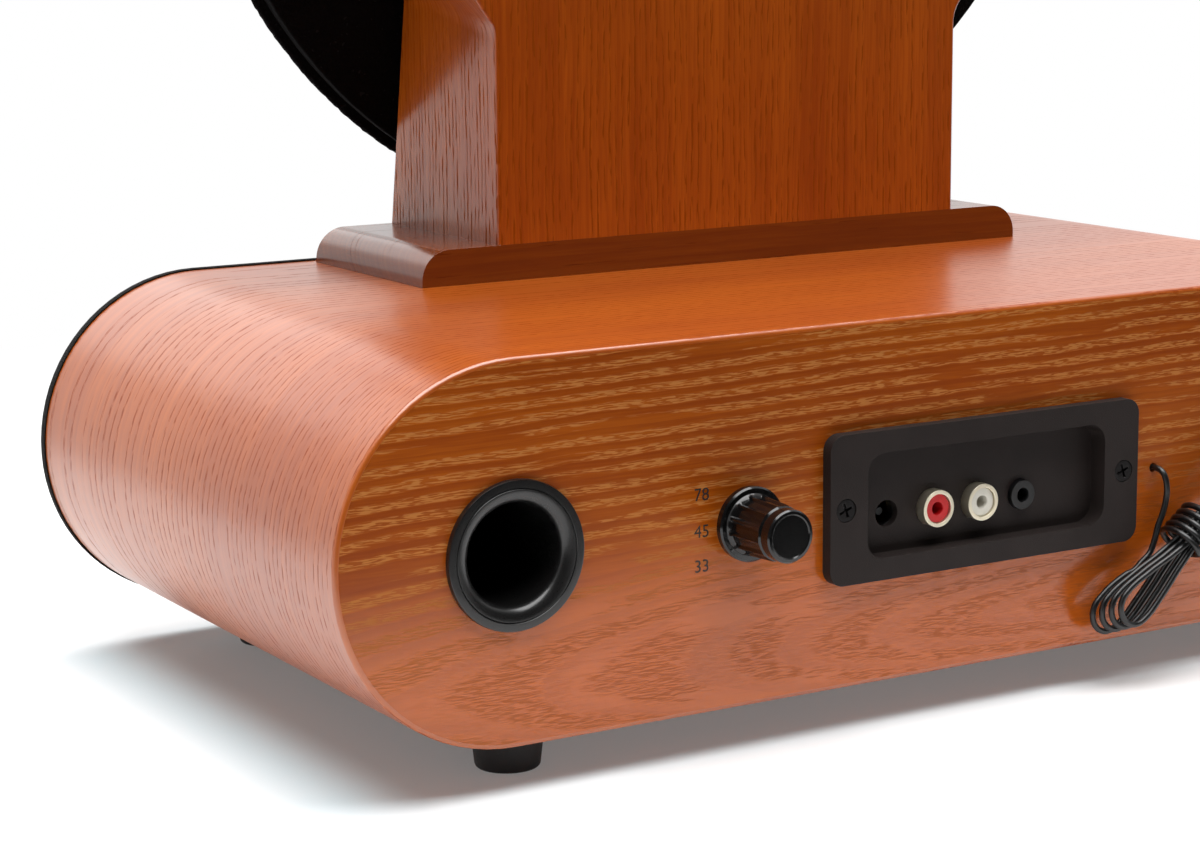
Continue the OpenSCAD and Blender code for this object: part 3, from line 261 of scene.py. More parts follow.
def lacquered_wood(finish, along, side, across, gap, band, segment, cover, fleck, pore_colour,
                   figure=1.0, pale=None, sink=0.9, contrast=0.8, depth=1.0, gloss=1.6, haze=0.20):
    """Stained open-pored wood under a satin lacquer. along and side run in metres with the grain and
    over it, and across counts the growth lines, also in metres. In millimetres, gap is the distance
    between growth lines, segment about how far a porous row runs, and fleck the length and width of a
    pore. band is the porous share of a gap, cover the share of the rows that shows, figure how clearly
    the growth lines show, pale where a paler tone paints in bounce light from the floor, sink how far
    the lacquer sinks into the pores, depth how pale the stain is, gloss the lacquer's IOR and haze its
    roughness."""
    light = scaled(colours().wood_light, depth)
    mid = scaled(colours().wood_mid, depth)
    dark = scaled(colours().wood_dark, depth)
    gap, segment, length, width = scaled((gap, segment, *fleck), MM)

    def grain(lengthways, sideways, layer, detail=0.0):
        return finish.noise(finish.join(along * lengthways, side * sideways, layer), detail=detail)

    uneven = grain(0.3 / length, 0.3 / width, 0.4) - 0.5
    ring = ((across + uneven * 2.0 * width) / gap).math("FRACT")
    early = finish.smooth(ring, 0.0, 0.12) * finish.smooth(ring, band + 0.08, band - 0.08)
    early = early * figure + (1.0 - figure) * 0.4
    late = finish.smooth(ring, band, 1.0) * figure
    row = finish.noise(finish.join(along * (0.5 / segment), across * (0.9 / gap), 1.7)) + uneven * 0.2
    seen = finish.smooth(row, 0.71 - 0.5 * cover, 0.79 - 0.5 * cover)
    fine = grain(0.5 / length, 0.5 / width, 0.9, 1.0)
    hole = early * seen * (finish.smooth(fine, 0.46, 0.54) * 0.90 + 0.10)
    cloud = finish.noise(finish.join(along * 7.0, across * 34.0, 0.2), detail=2.0)
    streak = grain(12.0, 420.0, 0.5, 2.0)
    fibre = grain(90.0, 2100.0, 0.7, 1.0)
    spread = 0.15 / contrast
    tone = finish.smooth(cloud * 0.45 + streak * 0.35 + fibre * 0.2, 0.5 - spread, 0.5 + spread)
    wood = finish.mix(tone, dark, light)
    wood = finish.mix(0.40, wood, mid)
    # painted light: where pale is set, a paler tone stands in for bounce light from the floor
    if pale is not None:
        wood = finish.mix(pale, wood, scaled(mid, 1.7))
    wood = finish.mix(late * 0.40 * contrast, wood, dark)
    wood = finish.mix(hole * 0.9, wood, pore_colour)
    bump = finish.bump(1.0 - hole, 0.5, 0.10 * MM)
    return finish.close(base_color=wood, roughness=0.46 + hole * 0.30, coat_weight=1.0 - hole * sink,
                        coat_roughness=haze, coat_ior=gloss, specular_ior_level=0.05, normal=bump)


def wandering(finish, place, scale, amount):
    return (finish.noise(place, scale, 2.0) - 0.5) * amount


def panel_wood(finish):
    """Flat-cut veneer: growth lines bow over a heart near the lower edge, where the pores are darker"""
    heart_x = -75 * MM
    heart_z = 24 * MM
    x, y, z = finish.parts()
    slow = finish.join(x * 0.35, y, z)
    rise = z - heart_z
    run = (x - heart_x) * 0.10
    waver = wandering(finish, slow, 90.0, 1.6 * MM)
    across = (rise * rise + run * run) ** 0.5 + wandering(finish, slow, 24.0, 5 * MM) + waver
    from_heart = finish.smooth(across, 18 * MM, 40 * MM)
    pore_colour = finish.mix(from_heart, colours().heart_pore, colours().wood_pore)
    # paler towards the heart by the lower edge: painted bounce light from the floor, not stain
    return lacquered_wood(finish, along=x, side=z + waver, across=across, gap=3.4, band=0.60,
                          segment=15, cover=0.80, fleck=(1.9, 0.17), pore_colour=pore_colour,
                          figure=0.4 + 0.6 * from_heart, pale=0.6 - 0.6 * from_heart,
                          contrast=1.0, depth=0.78, gloss=1.54)


def shell_wood(finish):
    """Straight veneer wrapped round the base, mapped by the shell's own grain map. Its growth lines
    stand wider apart and grow fainter towards the grille."""
    u, v, w = finish.parts(finish.node("UVMap", {"uv_map": "grain"}))
    side = v + wandering(finish, finish.join(u * 0.35, v, w), 24.0, 5 * MM)
    across = side * 0.69 + side * side * 1.725
    cover = 0.36 + 0.46 * finish.smooth(v, -70 * MM, -15 * MM)
    return lacquered_wood(finish, along=u, side=side, across=across, gap=2.2, band=0.32, segment=30,
                          cover=cover, fleck=(1.8, 0.17), pore_colour=scaled(colours().wood_dark, 0.9),
                          sink=0.5, contrast=0.7, depth=0.94, gloss=1.74, haze=0.30)


def tower_wood(finish):
    """Upright veneer: fine lines with a few darker streaks"""
    x, y, z = finish.parts()
    side = x + y
    across = side + wandering(finish, finish.join(side, 0.0, z * 0.25), 24.0, 9 * MM)
    return lacquered_wood(finish, along=z, side=across, across=across, gap=1.9, band=0.42, segment=9,
                          cover=0.72, fleck=(2.8, 0.28), pore_colour=scaled(colours().wood_mid, 0.65),
                          sink=1.0, depth=0.99)


def plinth_wood(finish):
    """Moulding of solid wood, grain lengthways"""
    x, y, z = finish.parts()
    across = y + z + wandering(finish, finish.join(x * 0.3, y, z), 30.0, 6 * MM)
    return lacquered_wood(finish, along=x, side=across, across=across, gap=3.0, band=0.14, segment=9,
                          cover=0.25, fleck=(5.0, 0.26), pore_colour=scaled(colours().wood_dark, 0.4),
                          depth=0.45, gloss=1.55)


def moulded(finish, colour, rough, grain, relief, coat=0.0, shine=0.5):
    """Moulded or painted surface: fine spark texture, faint cloudiness and a soft relief"""
    if isinstance(colour, str):
        colour = tuple(getattr(colours(), colour))
    place = finish.place()
    grain *= MM
    spark = finish.noise(place, 1.0 / grain, 2.0)
    cloud = finish.noise(place, 60.0, 2.0)
    shade = finish.mix(finish.smooth(cloud, 0.35, 0.65), scaled(colour, 0.86), colour)
    bump = finish.bump(spark, relief, 0.5 * grain)
    return finish.close(base_color=shade, roughness=rough + (spark - 0.5) * 0.16, coat_weight=coat,
                        coat_roughness=0.08, specular_ior_level=shine, normal=bump)


def turned_metal(finish, colour, rough, grain):
    """Turned or drawn metal with fine lines and slightly uneven gloss"""
    x, y, z = finish.parts()
    grain *= MM
    lines = finish.noise(finish.join(x * 0.05, y, z * 0.05), 1.0 / grain, 2.0)
    cloud = finish.noise(finish.join(x, y, z), 90.0, 2.0)
    shade = finish.mix(finish.smooth(cloud, 0.3, 0.7), scaled(colour, 0.85), colour)
    bump = finish.bump(lines, 0.04, 0.3 * grain)
    return finish.close(base_color=shade, metallic=1.0, roughness=rough + (lines - 0.5) * 0.08,
                        normal=bump)


def felt_cloth(finish):
    """Black felt: matted fibres, dull, with a little lint"""
    place = finish.place()
    fibre = finish.noise(place, 1400.0, 3.0)
    tuft = finish.noise(place, 260.0, 2.0)
    lint = finish.smooth(finish.noise(place, 900.0), 0.74, 0.80)
    black = tuple(colours().felt)
    shade = finish.mix(finish.smooth(fibre, 0.35, 0.7), black, scaled(black, 2.6))
    shade = finish.mix(lint * 0.35, shade, (0.03, 0.03, 0.032))
    bump = finish.bump(fibre * 0.6 + tuft * 0.4, 0.8, 0.5 * MM)
    return finish.close(base_color=shade, roughness=0.95, specular_ior_level=0.1, normal=bump)


def woven_cloth(finish):
    """Loudspeaker cloth: plain weave of black yarn"""
    x, y, z = finish.parts()
    pitch = 0.9 * MM
    warp = (x * (2.0 * math.pi / pitch)).math("SINE")
    weft = (z * (2.0 * math.pi / pitch)).math("SINE")
    over = finish.smooth(warp * weft, -0.4, 0.4)
    yarn = finish.noise(finish.join(x, y, z), 2600.0, 2.0)
    height = over * (1.0 - warp * warp) + (1.0 - over) * (1.0 - weft * weft)
    shade = finish.mix(height * 0.7 + yarn * 0.3, (0.003, 0.003, 0.003), (0.022, 0.021, 0.021))
    bump = finish.bump(height + yarn * 0.3, 0.7, 0.25 * MM)
    return finish.close(base_color=shade, roughness=0.85, specular_ior_level=0.2, normal=bump)


def circuit_board(finish):
    """Green board: traces under the mask and tinned pads"""
    place = finish.place()
    trace = finish.smooth(finish.noise(place, 170.0), 0.49, 0.51)
    pads = finish.smooth(finish.cells(place, 240.0), 0.20, 0.16)
    shade = finish.mix(trace, (0.010, 0.075, 0.028), (0.016, 0.115, 0.045))
    shade = finish.mix(pads, shade, (0.62, 0.60, 0.55))
    return finish.close(base_color=shade, metallic=pads, roughness=0.38,
                        normal=finish.bump(trace + pads, 0.3, 0.05 * MM))


def ink(finish):
    """Printed ink, thin enough to follow the pores"""
    spark = finish.noise(finish.place(), 2400.0, 2.0)
    shade = finish.mix(finish.smooth(spark, 0.4, 0.7), (0.010, 0.008, 0.007), (0.028, 0.018, 0.012))
    return finish.close(base_color=shade, roughness=0.55)


# What makes the finish of each slot, and its settings: colour, roughness, size of the grain in
# millimetres, and for moulded surfaces also the relief, then a coat and a shine. A colour given by name
# is one of the player's colours.
FINISHES = {
    "shell_wood": (shell_wood,),
    "panel_wood": (panel_wood,),
    "tower_wood": (tower_wood,),
    "plinth_wood": (plinth_wood,),
    "grille_fabric": (woven_cloth,),
    "felt": (felt_cloth,),
    "platter_black": (felt_cloth,),
    "board_green": (circuit_board,),
    "ink": (ink,),
    "black_board": (moulded, (0.012, 0.0115, 0.011), 0.62, 0.7, 0.5),
    "grille_plastic": (moulded, (0.006, 0.006, 0.006), 0.55, 0.3, 0.4),
    "black_rubber": (moulded, (0.008, 0.008, 0.008), 0.62, 0.35, 0.35),
    "speaker_paper": (moulded, (0.018, 0.018, 0.019), 0.8, 0.5, 0.7),
    "ferrite": (moulded, (0.045, 0.045, 0.047), 0.6, 0.4, 0.5),
    "port_plastic": (moulded, (0.0078, 0.0074, 0.0074), 0.30, 0.25, 0.10, 0.15),
    "plate_plastic": (moulded, (0.023, 0.0172, 0.0158), 0.52, 0.28, 0.45, 0.0, 0.15),
    "jack_plastic": (moulded, (0.006, 0.006, 0.0065), 0.38, 0.25, 0.2),
    "jack_red": (moulded, "socket_red", 0.34, 0.4, 0.1, 0.3),
    "jack_white": (moulded, "socket_white", 0.36, 0.4, 0.1, 0.3),
    "standoff_nylon": (moulded, (0.62, 0.58, 0.48), 0.5, 0.5, 0.15),
    "knob_plastic": (moulded, (0.0040, 0.0038, 0.0038), 0.16, 0.5, 0.02),
    "panel_plastic": (moulded, (0.010, 0.010, 0.0115), 0.36, 0.25, 0.2),
    "window_plastic": (moulded, (0.004, 0.0045, 0.006), 0.08, 1.0, 0.02, 1.0),
    "wire_plastic": (moulded, (0.0055, 0.0055, 0.0058), 0.33, 0.4, 0.15),
    "arm_black": (moulded, (0.014, 0.014, 0.016), 0.32, 0.2, 0.15),
    "shell_black": (moulded, (0.011, 0.011, 0.013), 0.34, 0.25, 0.15),
    "steel_screw": (turned_metal, (0.55, 0.55, 0.56), 0.32, 0.3),
    "black_screw": (turned_metal, (0.030, 0.028, 0.028), 0.36, 0.3),
    "speaker_steel": (turned_metal, (0.050, 0.050, 0.052), 0.45, 0.5),
    "jack_metal": (turned_metal, (0.92, 0.84, 0.66), 0.45, 0.2),
    "bare_aluminium": (turned_metal, (0.70, 0.70, 0.71), 0.38, 0.4),
    "switch_metal": (turned_metal, (0.52, 0.52, 0.53), 0.34, 0.3),
    "polished_steel": (turned_metal, (0.66, 0.66, 0.67), 0.16, 0.2),
    "bearing_brass": (turned_metal, (0.68, 0.48, 0.19), 0.26, 0.25),
    "motor_steel": (turned_metal, (0.46, 0.46, 0.47), 0.36, 0.4),
    "arm_aluminium": (turned_metal, (0.56, 0.57, 0.58), 0.28, 0.25),
}
finishes_made = {}


def finish_of(slot):
    """The finish of a material slot, made when it's first asked for"""
    if slot not in finishes_made:
        maker, *settings = FINISHES[slot]
        finishes_made[slot] = maker(Finish(slot), *settings)
    return finishes_made[slot]


# Pieces


def new_object(name, data):
    thing = bpy.data.objects.new(name, data)
    bpy.context.scene.collection.objects.link(thing)
    return thing


def finished_piece(name, bm, slot, body, place=Matrix(), sharp=SHARP):
    """Makes a mesh object of a bmesh, puts it in place, shades it, and lets it ride on a body"""
    mesh = bpy.data.meshes.new(name)
    bmesh.ops.transform(bm, matrix=place, verts=bm.verts)
    bm.normal_update()
    for face in bm.faces:
        face.smooth = True
    for edge in bm.edges:
        edge.smooth = edge.calc_face_angle(0.0) < sharp
    bm.to_mesh(mesh)
    bm.free()
    piece = new_object(name, mesh)
    mesh.materials.append(finish_of(slot))
    even = piece.modifiers.new("even_shading", "WEIGHTED_NORMAL")
    even.keep_sharp = True
    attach(piece, body)
    return piece


def replacement(name, bm, node, place=Matrix(), sharp=SHARP):
    """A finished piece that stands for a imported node, with its slot and on its body"""
    piece = finished_piece(name, bm, SLOTS[node], frame["nodes"][node]["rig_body"], place, sharp)
    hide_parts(node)
    return piece


def merged_copy(node):
    """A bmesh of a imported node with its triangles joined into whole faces"""
    bm = bmesh.new()
    bm.from_mesh(frame["nodes"][node].data)
    bmesh.ops.remove_doubles(bm, verts=bm.verts, dist=SAME_PLACE)
    bmesh.ops.dissolve_limit(bm, angle_limit=math.radians(0.5), verts=bm.verts, edges=bm.edges)
    return bm


def bevel(bm, edges, width, segments):
    bmesh.ops.bevel(bm, geom=edges, offset=width, offset_type="OFFSET", segments=segments, profile=0.5,
                    affect="EDGES", clamp_overlap=True, material=-1)


def round_edges(bm, width, segments, wanted=None):
    """Bevels the edges that turn by more than 30 degrees"""
    edges = []
    for edge in bm.edges:
        if len(edge.link_faces) == 2 and edge.calc_face_angle() > math.radians(30.0):
            if wanted is None or wanted(edge):
                edges.append(edge)
    bevel(bm, edges, width, segments)


def softened(node, width, segments=2, wanted=None, mapped=None, shaped=None):
    """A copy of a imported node, shaped and mapped if asked, with rounded edges, which stands for it"""
    bm = merged_copy(node)
    if shaped:
        shaped(bm)
    round_edges(bm, width, segments, wanted)
    if mapped:
        mapped(bm)
    replacement(node + "_soft", bm, node)


def fluted(rings, count, pattern=(0.0, 1.0)):
    """A bmesh of a turned shape. Each ring is a height and a radius in millimetres, and how deep the
    flutes of the pattern go in it, if they do."""
    bm = bmesh.new()
    sides = count * len(pattern)
    bmesh.ops.create_circle(bm, cap_ends=True, radius=1.0, segments=sides)
    top = bm.faces[:]
    verts = bm.verts[:]
    for k, (height, radius, *flutes) in enumerate(rings):
        depth = flutes[0] if flutes else 0.0
        if k > 0:
            grown = bmesh.ops.extrude_face_region(bm, geom=top)["geom"]
            if k > 1:
                bmesh.ops.delete(bm, geom=top, context="FACES_ONLY")
            verts = [part for part in grown if isinstance(part, bmesh.types.BMVert)]
            top = [part for part in grown if isinstance(part, bmesh.types.BMFace)]
        for vert in verts:
            angle = math.atan2(vert.co.y, vert.co.x)
            step = round(angle / (2.0 * math.pi) * sides) % len(pattern)
            reach = (radius - depth * pattern[step]) * MM
            vert.co = (reach * math.cos(angle), reach * math.sin(angle), height * MM)
    bmesh.ops.recalc_face_normals(bm, faces=bm.faces)
    return bm


def spun(profile, steps):
    """A bmesh of a closed profile of radii and heights in millimetres, spun about Z"""
    bm = bmesh.new()
    verts = [bm.verts.new((radius * MM, 0.0, height * MM)) for radius, height in profile]
    edges = [bm.edges.new(pair) for pair in zip(verts, verts[1:] + verts[:1])]
    bmesh.ops.spin(bm, geom=verts + edges, cent=(0.0, 0.0, 0.0), axis=UP, angle=2.0 * math.pi,
                   steps=steps, use_merge=True)
    bmesh.ops.remove_doubles(bm, verts=bm.verts, dist=SAME_PLACE)
    bmesh.ops.recalc_face_normals(bm, faces=bm.faces)
    return bm


def bar(name, size, middle, place, slot, body):
    """A small bar with rounded edges. Its size and its middle are in millimetres."""
    bm = bmesh.new()
    bmesh.ops.create_cube(bm, size=MM)
    bmesh.ops.scale(bm, vec=size, verts=bm.verts)
    bmesh.ops.translate(bm, vec=Vector(middle) * MM, verts=bm.verts)
    bevel(bm, bm.edges, 0.15 * MM, 2)
    finished_piece(name, bm, slot, body, place)


def axes_at(origin, out, up):
    """A frame at a point: local Z runs outwards, local Y upwards"""
    side = up.cross(out)
    turn = Matrix((side, up, out)).transposed().to_4x4()
    return Matrix.Translation(origin) @ turn


def outside_base(place):
    """How far a point lies outside the base's pill-shaped outline"""
    across = max(abs(place.x) - BASE_END, 0.0)
    return math.hypot(across, place.z - BASE_MIDDLE) - BASE_RADIUS


def push_out(vert, amount):
    """Moves a vertex away from the middle of the base's outline"""
    across = max(abs(vert.co.x) - BASE_END, 0.0) * math.copysign(1.0, vert.co.x)
    out = Vector((across, 0.0, vert.co.z - BASE_MIDDLE)).normalized()
    vert.co += out * amount


def on_spindle(ahead):
    """A frame on the platter's axis, ahead of the tower's leaning face"""
    return axes_at(SPINDLE + FACE_OUT * ahead, FACE_OUT, FACE_UP)


def on_rear(spot, out=0.0):
    """A frame on the rear panel, level with a spot"""
    return axes_at(Vector((spot.x, REAR_Y + out, spot.z)), BACKWARDS, UP)


# Steps


class Step(bpy.types.Operator):
    """A step that dresses the record player"""

    def execute(self, context):
        self.dress(context.scene)
        return {"FINISHED"}


class PLAYER_OT_studio(Step):
    """Sets up the camera, the pale floor and the soft studio light"""

    bl_idname = "player.studio"
    bl_label = "Studio"

    def dress(self, scene):
        studio = scene.studio_settings
        scene.view_settings.view_transform = "Standard"
        scene.camera = self.camera()
        scene.world = self.world(studio)
        self.floor(studio)
        key_size = (studio.key_size, studio.key_size)
        back_size = (1.2, 0.55)
        self.soft_light("key", studio.key_power, key_size, Vector((0.03, 0.10, 2.25)))
        self.soft_light("back", studio.back_power, back_size, Vector((0.12, -1.90, 0.85)))

    def camera(self):
        """The photograph's camera, as fitted to it"""
        data = bpy.data.cameras.new("photo_camera")
        data.lens = 85.95
        data.sensor_width = 36.0
        data.clip_start = 0.01
        camera = new_object("photo_camera", data)
        forward = Vector((-0.5047, -0.8434, -0.1840)).normalized()
        level = Vector((-0.8581, 0.5135, 0.0)).normalized()
        roll = 0.0084
        place = Vector((0.4375, 0.63745, 0.20348))
        right = math.cos(roll) * level - math.sin(roll) * level.cross(forward)
        turn = Matrix((right, right.cross(forward), -forward)).transposed().to_4x4()
        camera.matrix_world = Matrix.Translation(place) @ turn
        return camera

    def floor(self, studio):
        """A pale floor under the player and far in front of its grille"""
        near = 0.25
        far = 3.0
        bm = bmesh.new()
        bmesh.ops.create_grid(bm, x_segments=2, y_segments=2, size=1.0)
        bmesh.ops.scale(bm, vec=(far, (near + far) / 2, 1.0), verts=bm.verts)
        bmesh.ops.translate(bm, vec=(0.0, (near - far) / 2, 0.0), verts=bm.verts)
        mesh = bpy.data.meshes.new("floor")
        bm.to_mesh(mesh)
        bm.free()
        finish = Finish("pale_floor")
        paper = finish.noise(finish.place(), 300.0, 2.0)
        tone = studio.floor_tone
        shade = finish.mix(paper, [tone] * 3, [0.98 * tone] * 3)
        mesh.materials.append(self.paper(finish, shade))
        new_object("floor", mesh)

    def paper(self, finish, shade):
        """Matt paper that keeps the shadow near the player, lifted by a faint painted glow, and is plain
        white further off. Under the player the camera sees it painted cooler, which takes the wood's red
        bounce light out of the shadow."""
        half_length = 0.165
        half_depth = 0.07
        cool_edge = 0.03
        white_from = 0.30
        white_at = 0.60
        seen = finish.ray("Camera")
        mirrored = finish.ray("Glossy")
        x, y, z = finish.parts()
        away = (x * x + y * y) ** 0.5
        past_side = (x.math("ABSOLUTE") - half_length).math("MAXIMUM", 0.0)
        past_back = (y.math("ABSOLUTE") - half_depth).math("MAXIMUM", 0.0)
        clear = (past_side * past_side + past_back * past_back) ** 0.5
        # painted cool tint over the shadow under the player, seen by the camera only
        shade = finish.mix(seen * finish.smooth(clear, cool_edge, 0.0), shade, (0.70, 0.89, 0.95))
        matt = finish.node("BsdfDiffuse", sockets={"Color": shade})
        white = finish.node("Emission", sockets={"Strength": 1.0})
        # painted light: a glow of at least 0.15 lifts the shadow near the player, and further off it
        # rises to plain white
        share = 0.15 + 0.85 * finish.smooth(away, white_from, white_at)
        plain = share * seen.math("MAXIMUM", mirrored)
        surface = finish.node("MixShader", sockets={0: plain, 1: matt, 2: white})
        finish.node("OutputMaterial", sockets={"Surface": surface})
        return finish.material

    def soft_light(self, name, power, size, place):
        """A soft box that faces the player"""
        data = bpy.data.lights.new(name, "AREA")
        data.energy = power
        data.shape = "RECTANGLE"
        data.size, data.size_y = size
        light = new_object(name, data)
        light.location = place
        light.rotation_euler = (Vector((0.0, 0.0, 0.1)) - place).to_track_quat("-Z", "Y").to_euler()
        light.visible_camera = False

    def world(self, studio):
        """White to the camera. Mirrored, it is white in front of the player and dark behind it."""
        world = bpy.data.worlds.new("studio")
        world.use_nodes = True
        tree = ShaderTree(world.node_tree)
        camera, glossy, clear = map(tree.ray, ("Camera", "Glossy", "Transmission"))
        x, y, z = tree.parts(tree.node("TexCoord", output="Generated"))
        seen = camera.math("MAXIMUM", clear)
        mirror = 1.0 - tree.smooth(y, 0.05, 0.55) * 0.97
        other = glossy * mirror + (1.0 - glossy) * studio.ambient
        level = seen + (1.0 - seen) * other
        white = (1.0, 1.0, 1.0, 1.0)
        light = tree.node("Background", sockets={"Color": white, "Strength": level})
        tree.node("OutputWorld", sockets={"Surface": light})
        return world


class PLAYER_OT_aerial(Step):
    """Lays the aerial wire: out of the rear panel, into a hank, and round its waist"""

    bl_idname = "player.aerial"
    bl_label = "Aerial wire"

    def dress(self, scene):
        diameter = scene.player_sizes.wire_diameter
        self.shape(diameter / MM)
        points = self.lead() + self.hank()
        data = bpy.data.curves.new("aerial_wire", "CURVE")
        data.dimensions = "3D"
        data.bevel_depth = diameter / 2
        data.bevel_resolution = 4
        data.resolution_u = 6
        data.use_fill_caps = True
        spline = data.splines.new("BEZIER")
        spline.bezier_points.add(len(points) - 1)
        for knot, point in zip(spline.bezier_points, points):
            knot.co = point * MM
            knot.handle_left_type = knot.handle_right_type = "AUTO"
        data.materials.append(finish_of("wire_plastic"))
        wire = new_object("aerial_wire", data)
        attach(wire, "player")
        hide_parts("antenna_lead", "antenna_hank")
        points[0] * MM

    def shape(self, wire):
        """Sizes of the hank in millimetres, as the solid of the wire has them"""
        self.wire = wire
        self.step = wire + 0.6
        self.loops = 4
        self.half = 30.0
        self.half_loss = 1.5
        self.fold = 3.0 * wire + 0.1
        self.start = 14.0
        self.wrap_across = self.step / 2 + wire + 2.3
        self.wrap_out = self.layer(self.loops - 1) + wire + 1.7
        tilt = math.radians(37.0)
        self.along = Vector((math.cos(tilt), 0.0, -math.sin(tilt)))
        self.across = Vector((math.sin(tilt), 0.0, math.cos(tilt)))
        self.middle = Vector((-62.0, REAR_Y / MM + self.wrap_out + wire / 2 + 0.3, 38.0))

    def layer(self, loop):
        """How far a loop lies out from the middle of the hank"""
        return (loop - (self.loops - 1) / 2) * self.step

    def half_width(self, share):
        """Half the width of a loop, at a share of its half length from the waist"""
        share = abs(share)
        return self.step / 2 + (self.fold - self.step / 2) * share * share * (3.0 - 2.0 * share)

    def spot(self, a, b, c):
        return self.middle + self.along * a + self.across * b + Vector((0.0, c, 0.0))

    def lead(self):
        """From the hole in the panel down to the start of the first loop"""
        hole = Vector((-56.0, REAR_Y / MM, 55.0))
        low = self.layer(0)
        join = self.half_width(self.start / self.half)
        out = [(0, -4, 0), (0, 0, 0), (0, 2, 0), (-0.2, 3.6, -0.8), (-0.4, 4.5, -2.4), (-0.6, 4.8, -4.6)]
        down = [(-1.5, 11, -3), (1.5, 8.6, -3.1), (4.6, 6.8, -3.2), (6.9, 5, low), (9, 3.6, low),
                (self.start - 2 * self.wire, join, low), (self.start, join, low)]
        return [hole + Vector(step) for step in out] + [self.spot(*step) for step in down]

    def hank(self):
        points = []
        for loop in range(self.loops):
            points += self.one_loop(loop)
        return points[1:] + self.tie()

    def one_loop(self, loop):
        """A flat loop with a narrow waist, which climbs to the next loop at its end"""
        half = self.half - self.half_loss * loop
        height = self.layer(loop)
        if loop == 0:
            join = self.half_width(self.start / half)
            places = [(self.start, join, height), (self.start + 2 * self.wire, join, height)]
        else:
            places = [(half * s, self.half_width(s), height) for s in (0.0, 1 / 3)]
        places.append((half * 2 / 3, self.half_width(2 / 3), height))
        places += self.end_turn(half, 1, height)
        places += [(half * s / 3, -self.half_width(s / 3), height) for s in (2, 1, 0, -1, -2)]
        places += self.end_turn(half, -1, height)
        for share in (2 / 3,) if loop == self.loops - 1 else (2 / 3, 1 / 3):
            climb = 1.2 * (1.0 - share)
            rise = self.step * climb * climb * (3.0 - 2.0 * climb)
            places.append((-half * share, self.half_width(share), height + rise))
        return [self.spot(*place) for place in places]

    def end_turn(self, half, side, height):
        """The half turn at one end of a loop"""
        turns = [math.radians(side * turn) for turn in range(90, -91, -30)]
        return [(side * (half + self.fold * math.cos(turn)), self.fold * math.sin(turn), height)
                for turn in turns]

    def tie(self):
        """The wire's far end, wound round the hank's waist"""
        wraps = 5
        steps = 24
        low = -7.0
        bend = 3.8
        start = math.radians(70.0)
        lead_in = bend / ((self.wrap_across + self.wrap_out) / 2)
        places = []
        for turn in (0, 30, 60):
            angle = math.radians(turn)
            along = low - bend * (1.0 - math.sin(angle))
            places.append((along, start + lead_in * (1.0 - math.cos(angle))))
        for step in range(wraps * steps + 1):
            turns = step / steps
            places.append((low + self.step * turns, start + lead_in + 2.0 * math.pi * turns))
        return [self.spot(a, self.wrap_across * math.cos(turn), self.wrap_out * math.sin(turn))
                for a, turn in places]


class PLAYER_OT_finishes(Step):
    """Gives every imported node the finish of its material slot"""

    bl_idname = "player.finishes"
    bl_label = "Finishes"

    def dress(self, scene):
        for name, thing in frame["nodes"].items():
            finish = finish_of(SLOTS[name])
            for slot in thing.material_slots:
                slot.material = finish


class PLAYER_OT_cabinet(Step):
    """Rounds the edges of the wooden base and its feet, and maps the grain round the shell"""

    bl_idname = "player.cabinet"
    bl_label = "Cabinet"

    def dress(self, scene):
        width = scene.player_sizes.rim_round
        softened("cabinet_shell", width, 6, self.on_rear_rim, self.wrap_grain)
        self.rear_board()
        softened("rubber_feet", 0.8 * MM, 3)

    def rear_board(self):
        """The rear panel, glued tight into the shell's rim"""
        bm = merged_copy("rear_panel")
        rim = 1.2 * MM
        fit = 0.1 * MM
        for vert in bm.verts:
            if outside_base(vert.co) > -rim - 2 * fit:
                push_out(vert, fit)
        replacement("rear_panel_glued", bm, "rear_panel")

    def on_rear_rim(self, edge):
        """True for the outer edge of the shell's rear rim"""
        places = [vert.co for vert in edge.verts]
        return all(co.y > REAR_Y - 0.01 * MM and outside_base(co) > -0.5 * MM for co in places)

    def wrap_grain(self, bm):
        """Maps the shell: along is the way round the base, across its depth"""
        grain = bm.loops.layers.uv.new("grain")
        for face in bm.faces:
            under = face.normal.z < -0.98
            for loop in face.loops:
                place = loop.vert.co
                loop[grain].uv = (place.x if under else self.way_round(place), place.y)

    def way_round(self, place):
        side = math.copysign(1.0, place.x)
        past_end = abs(place.x) - BASE_END
        if past_end > 0.0:
            return side * (BASE_END + BASE_RADIUS * math.atan2(past_end, place.z - BASE_MIDDLE))
        if place.z > BASE_MIDDLE:
            return place.x
        return side * (BASE_END + BASE_RADIUS * math.pi - past_end)


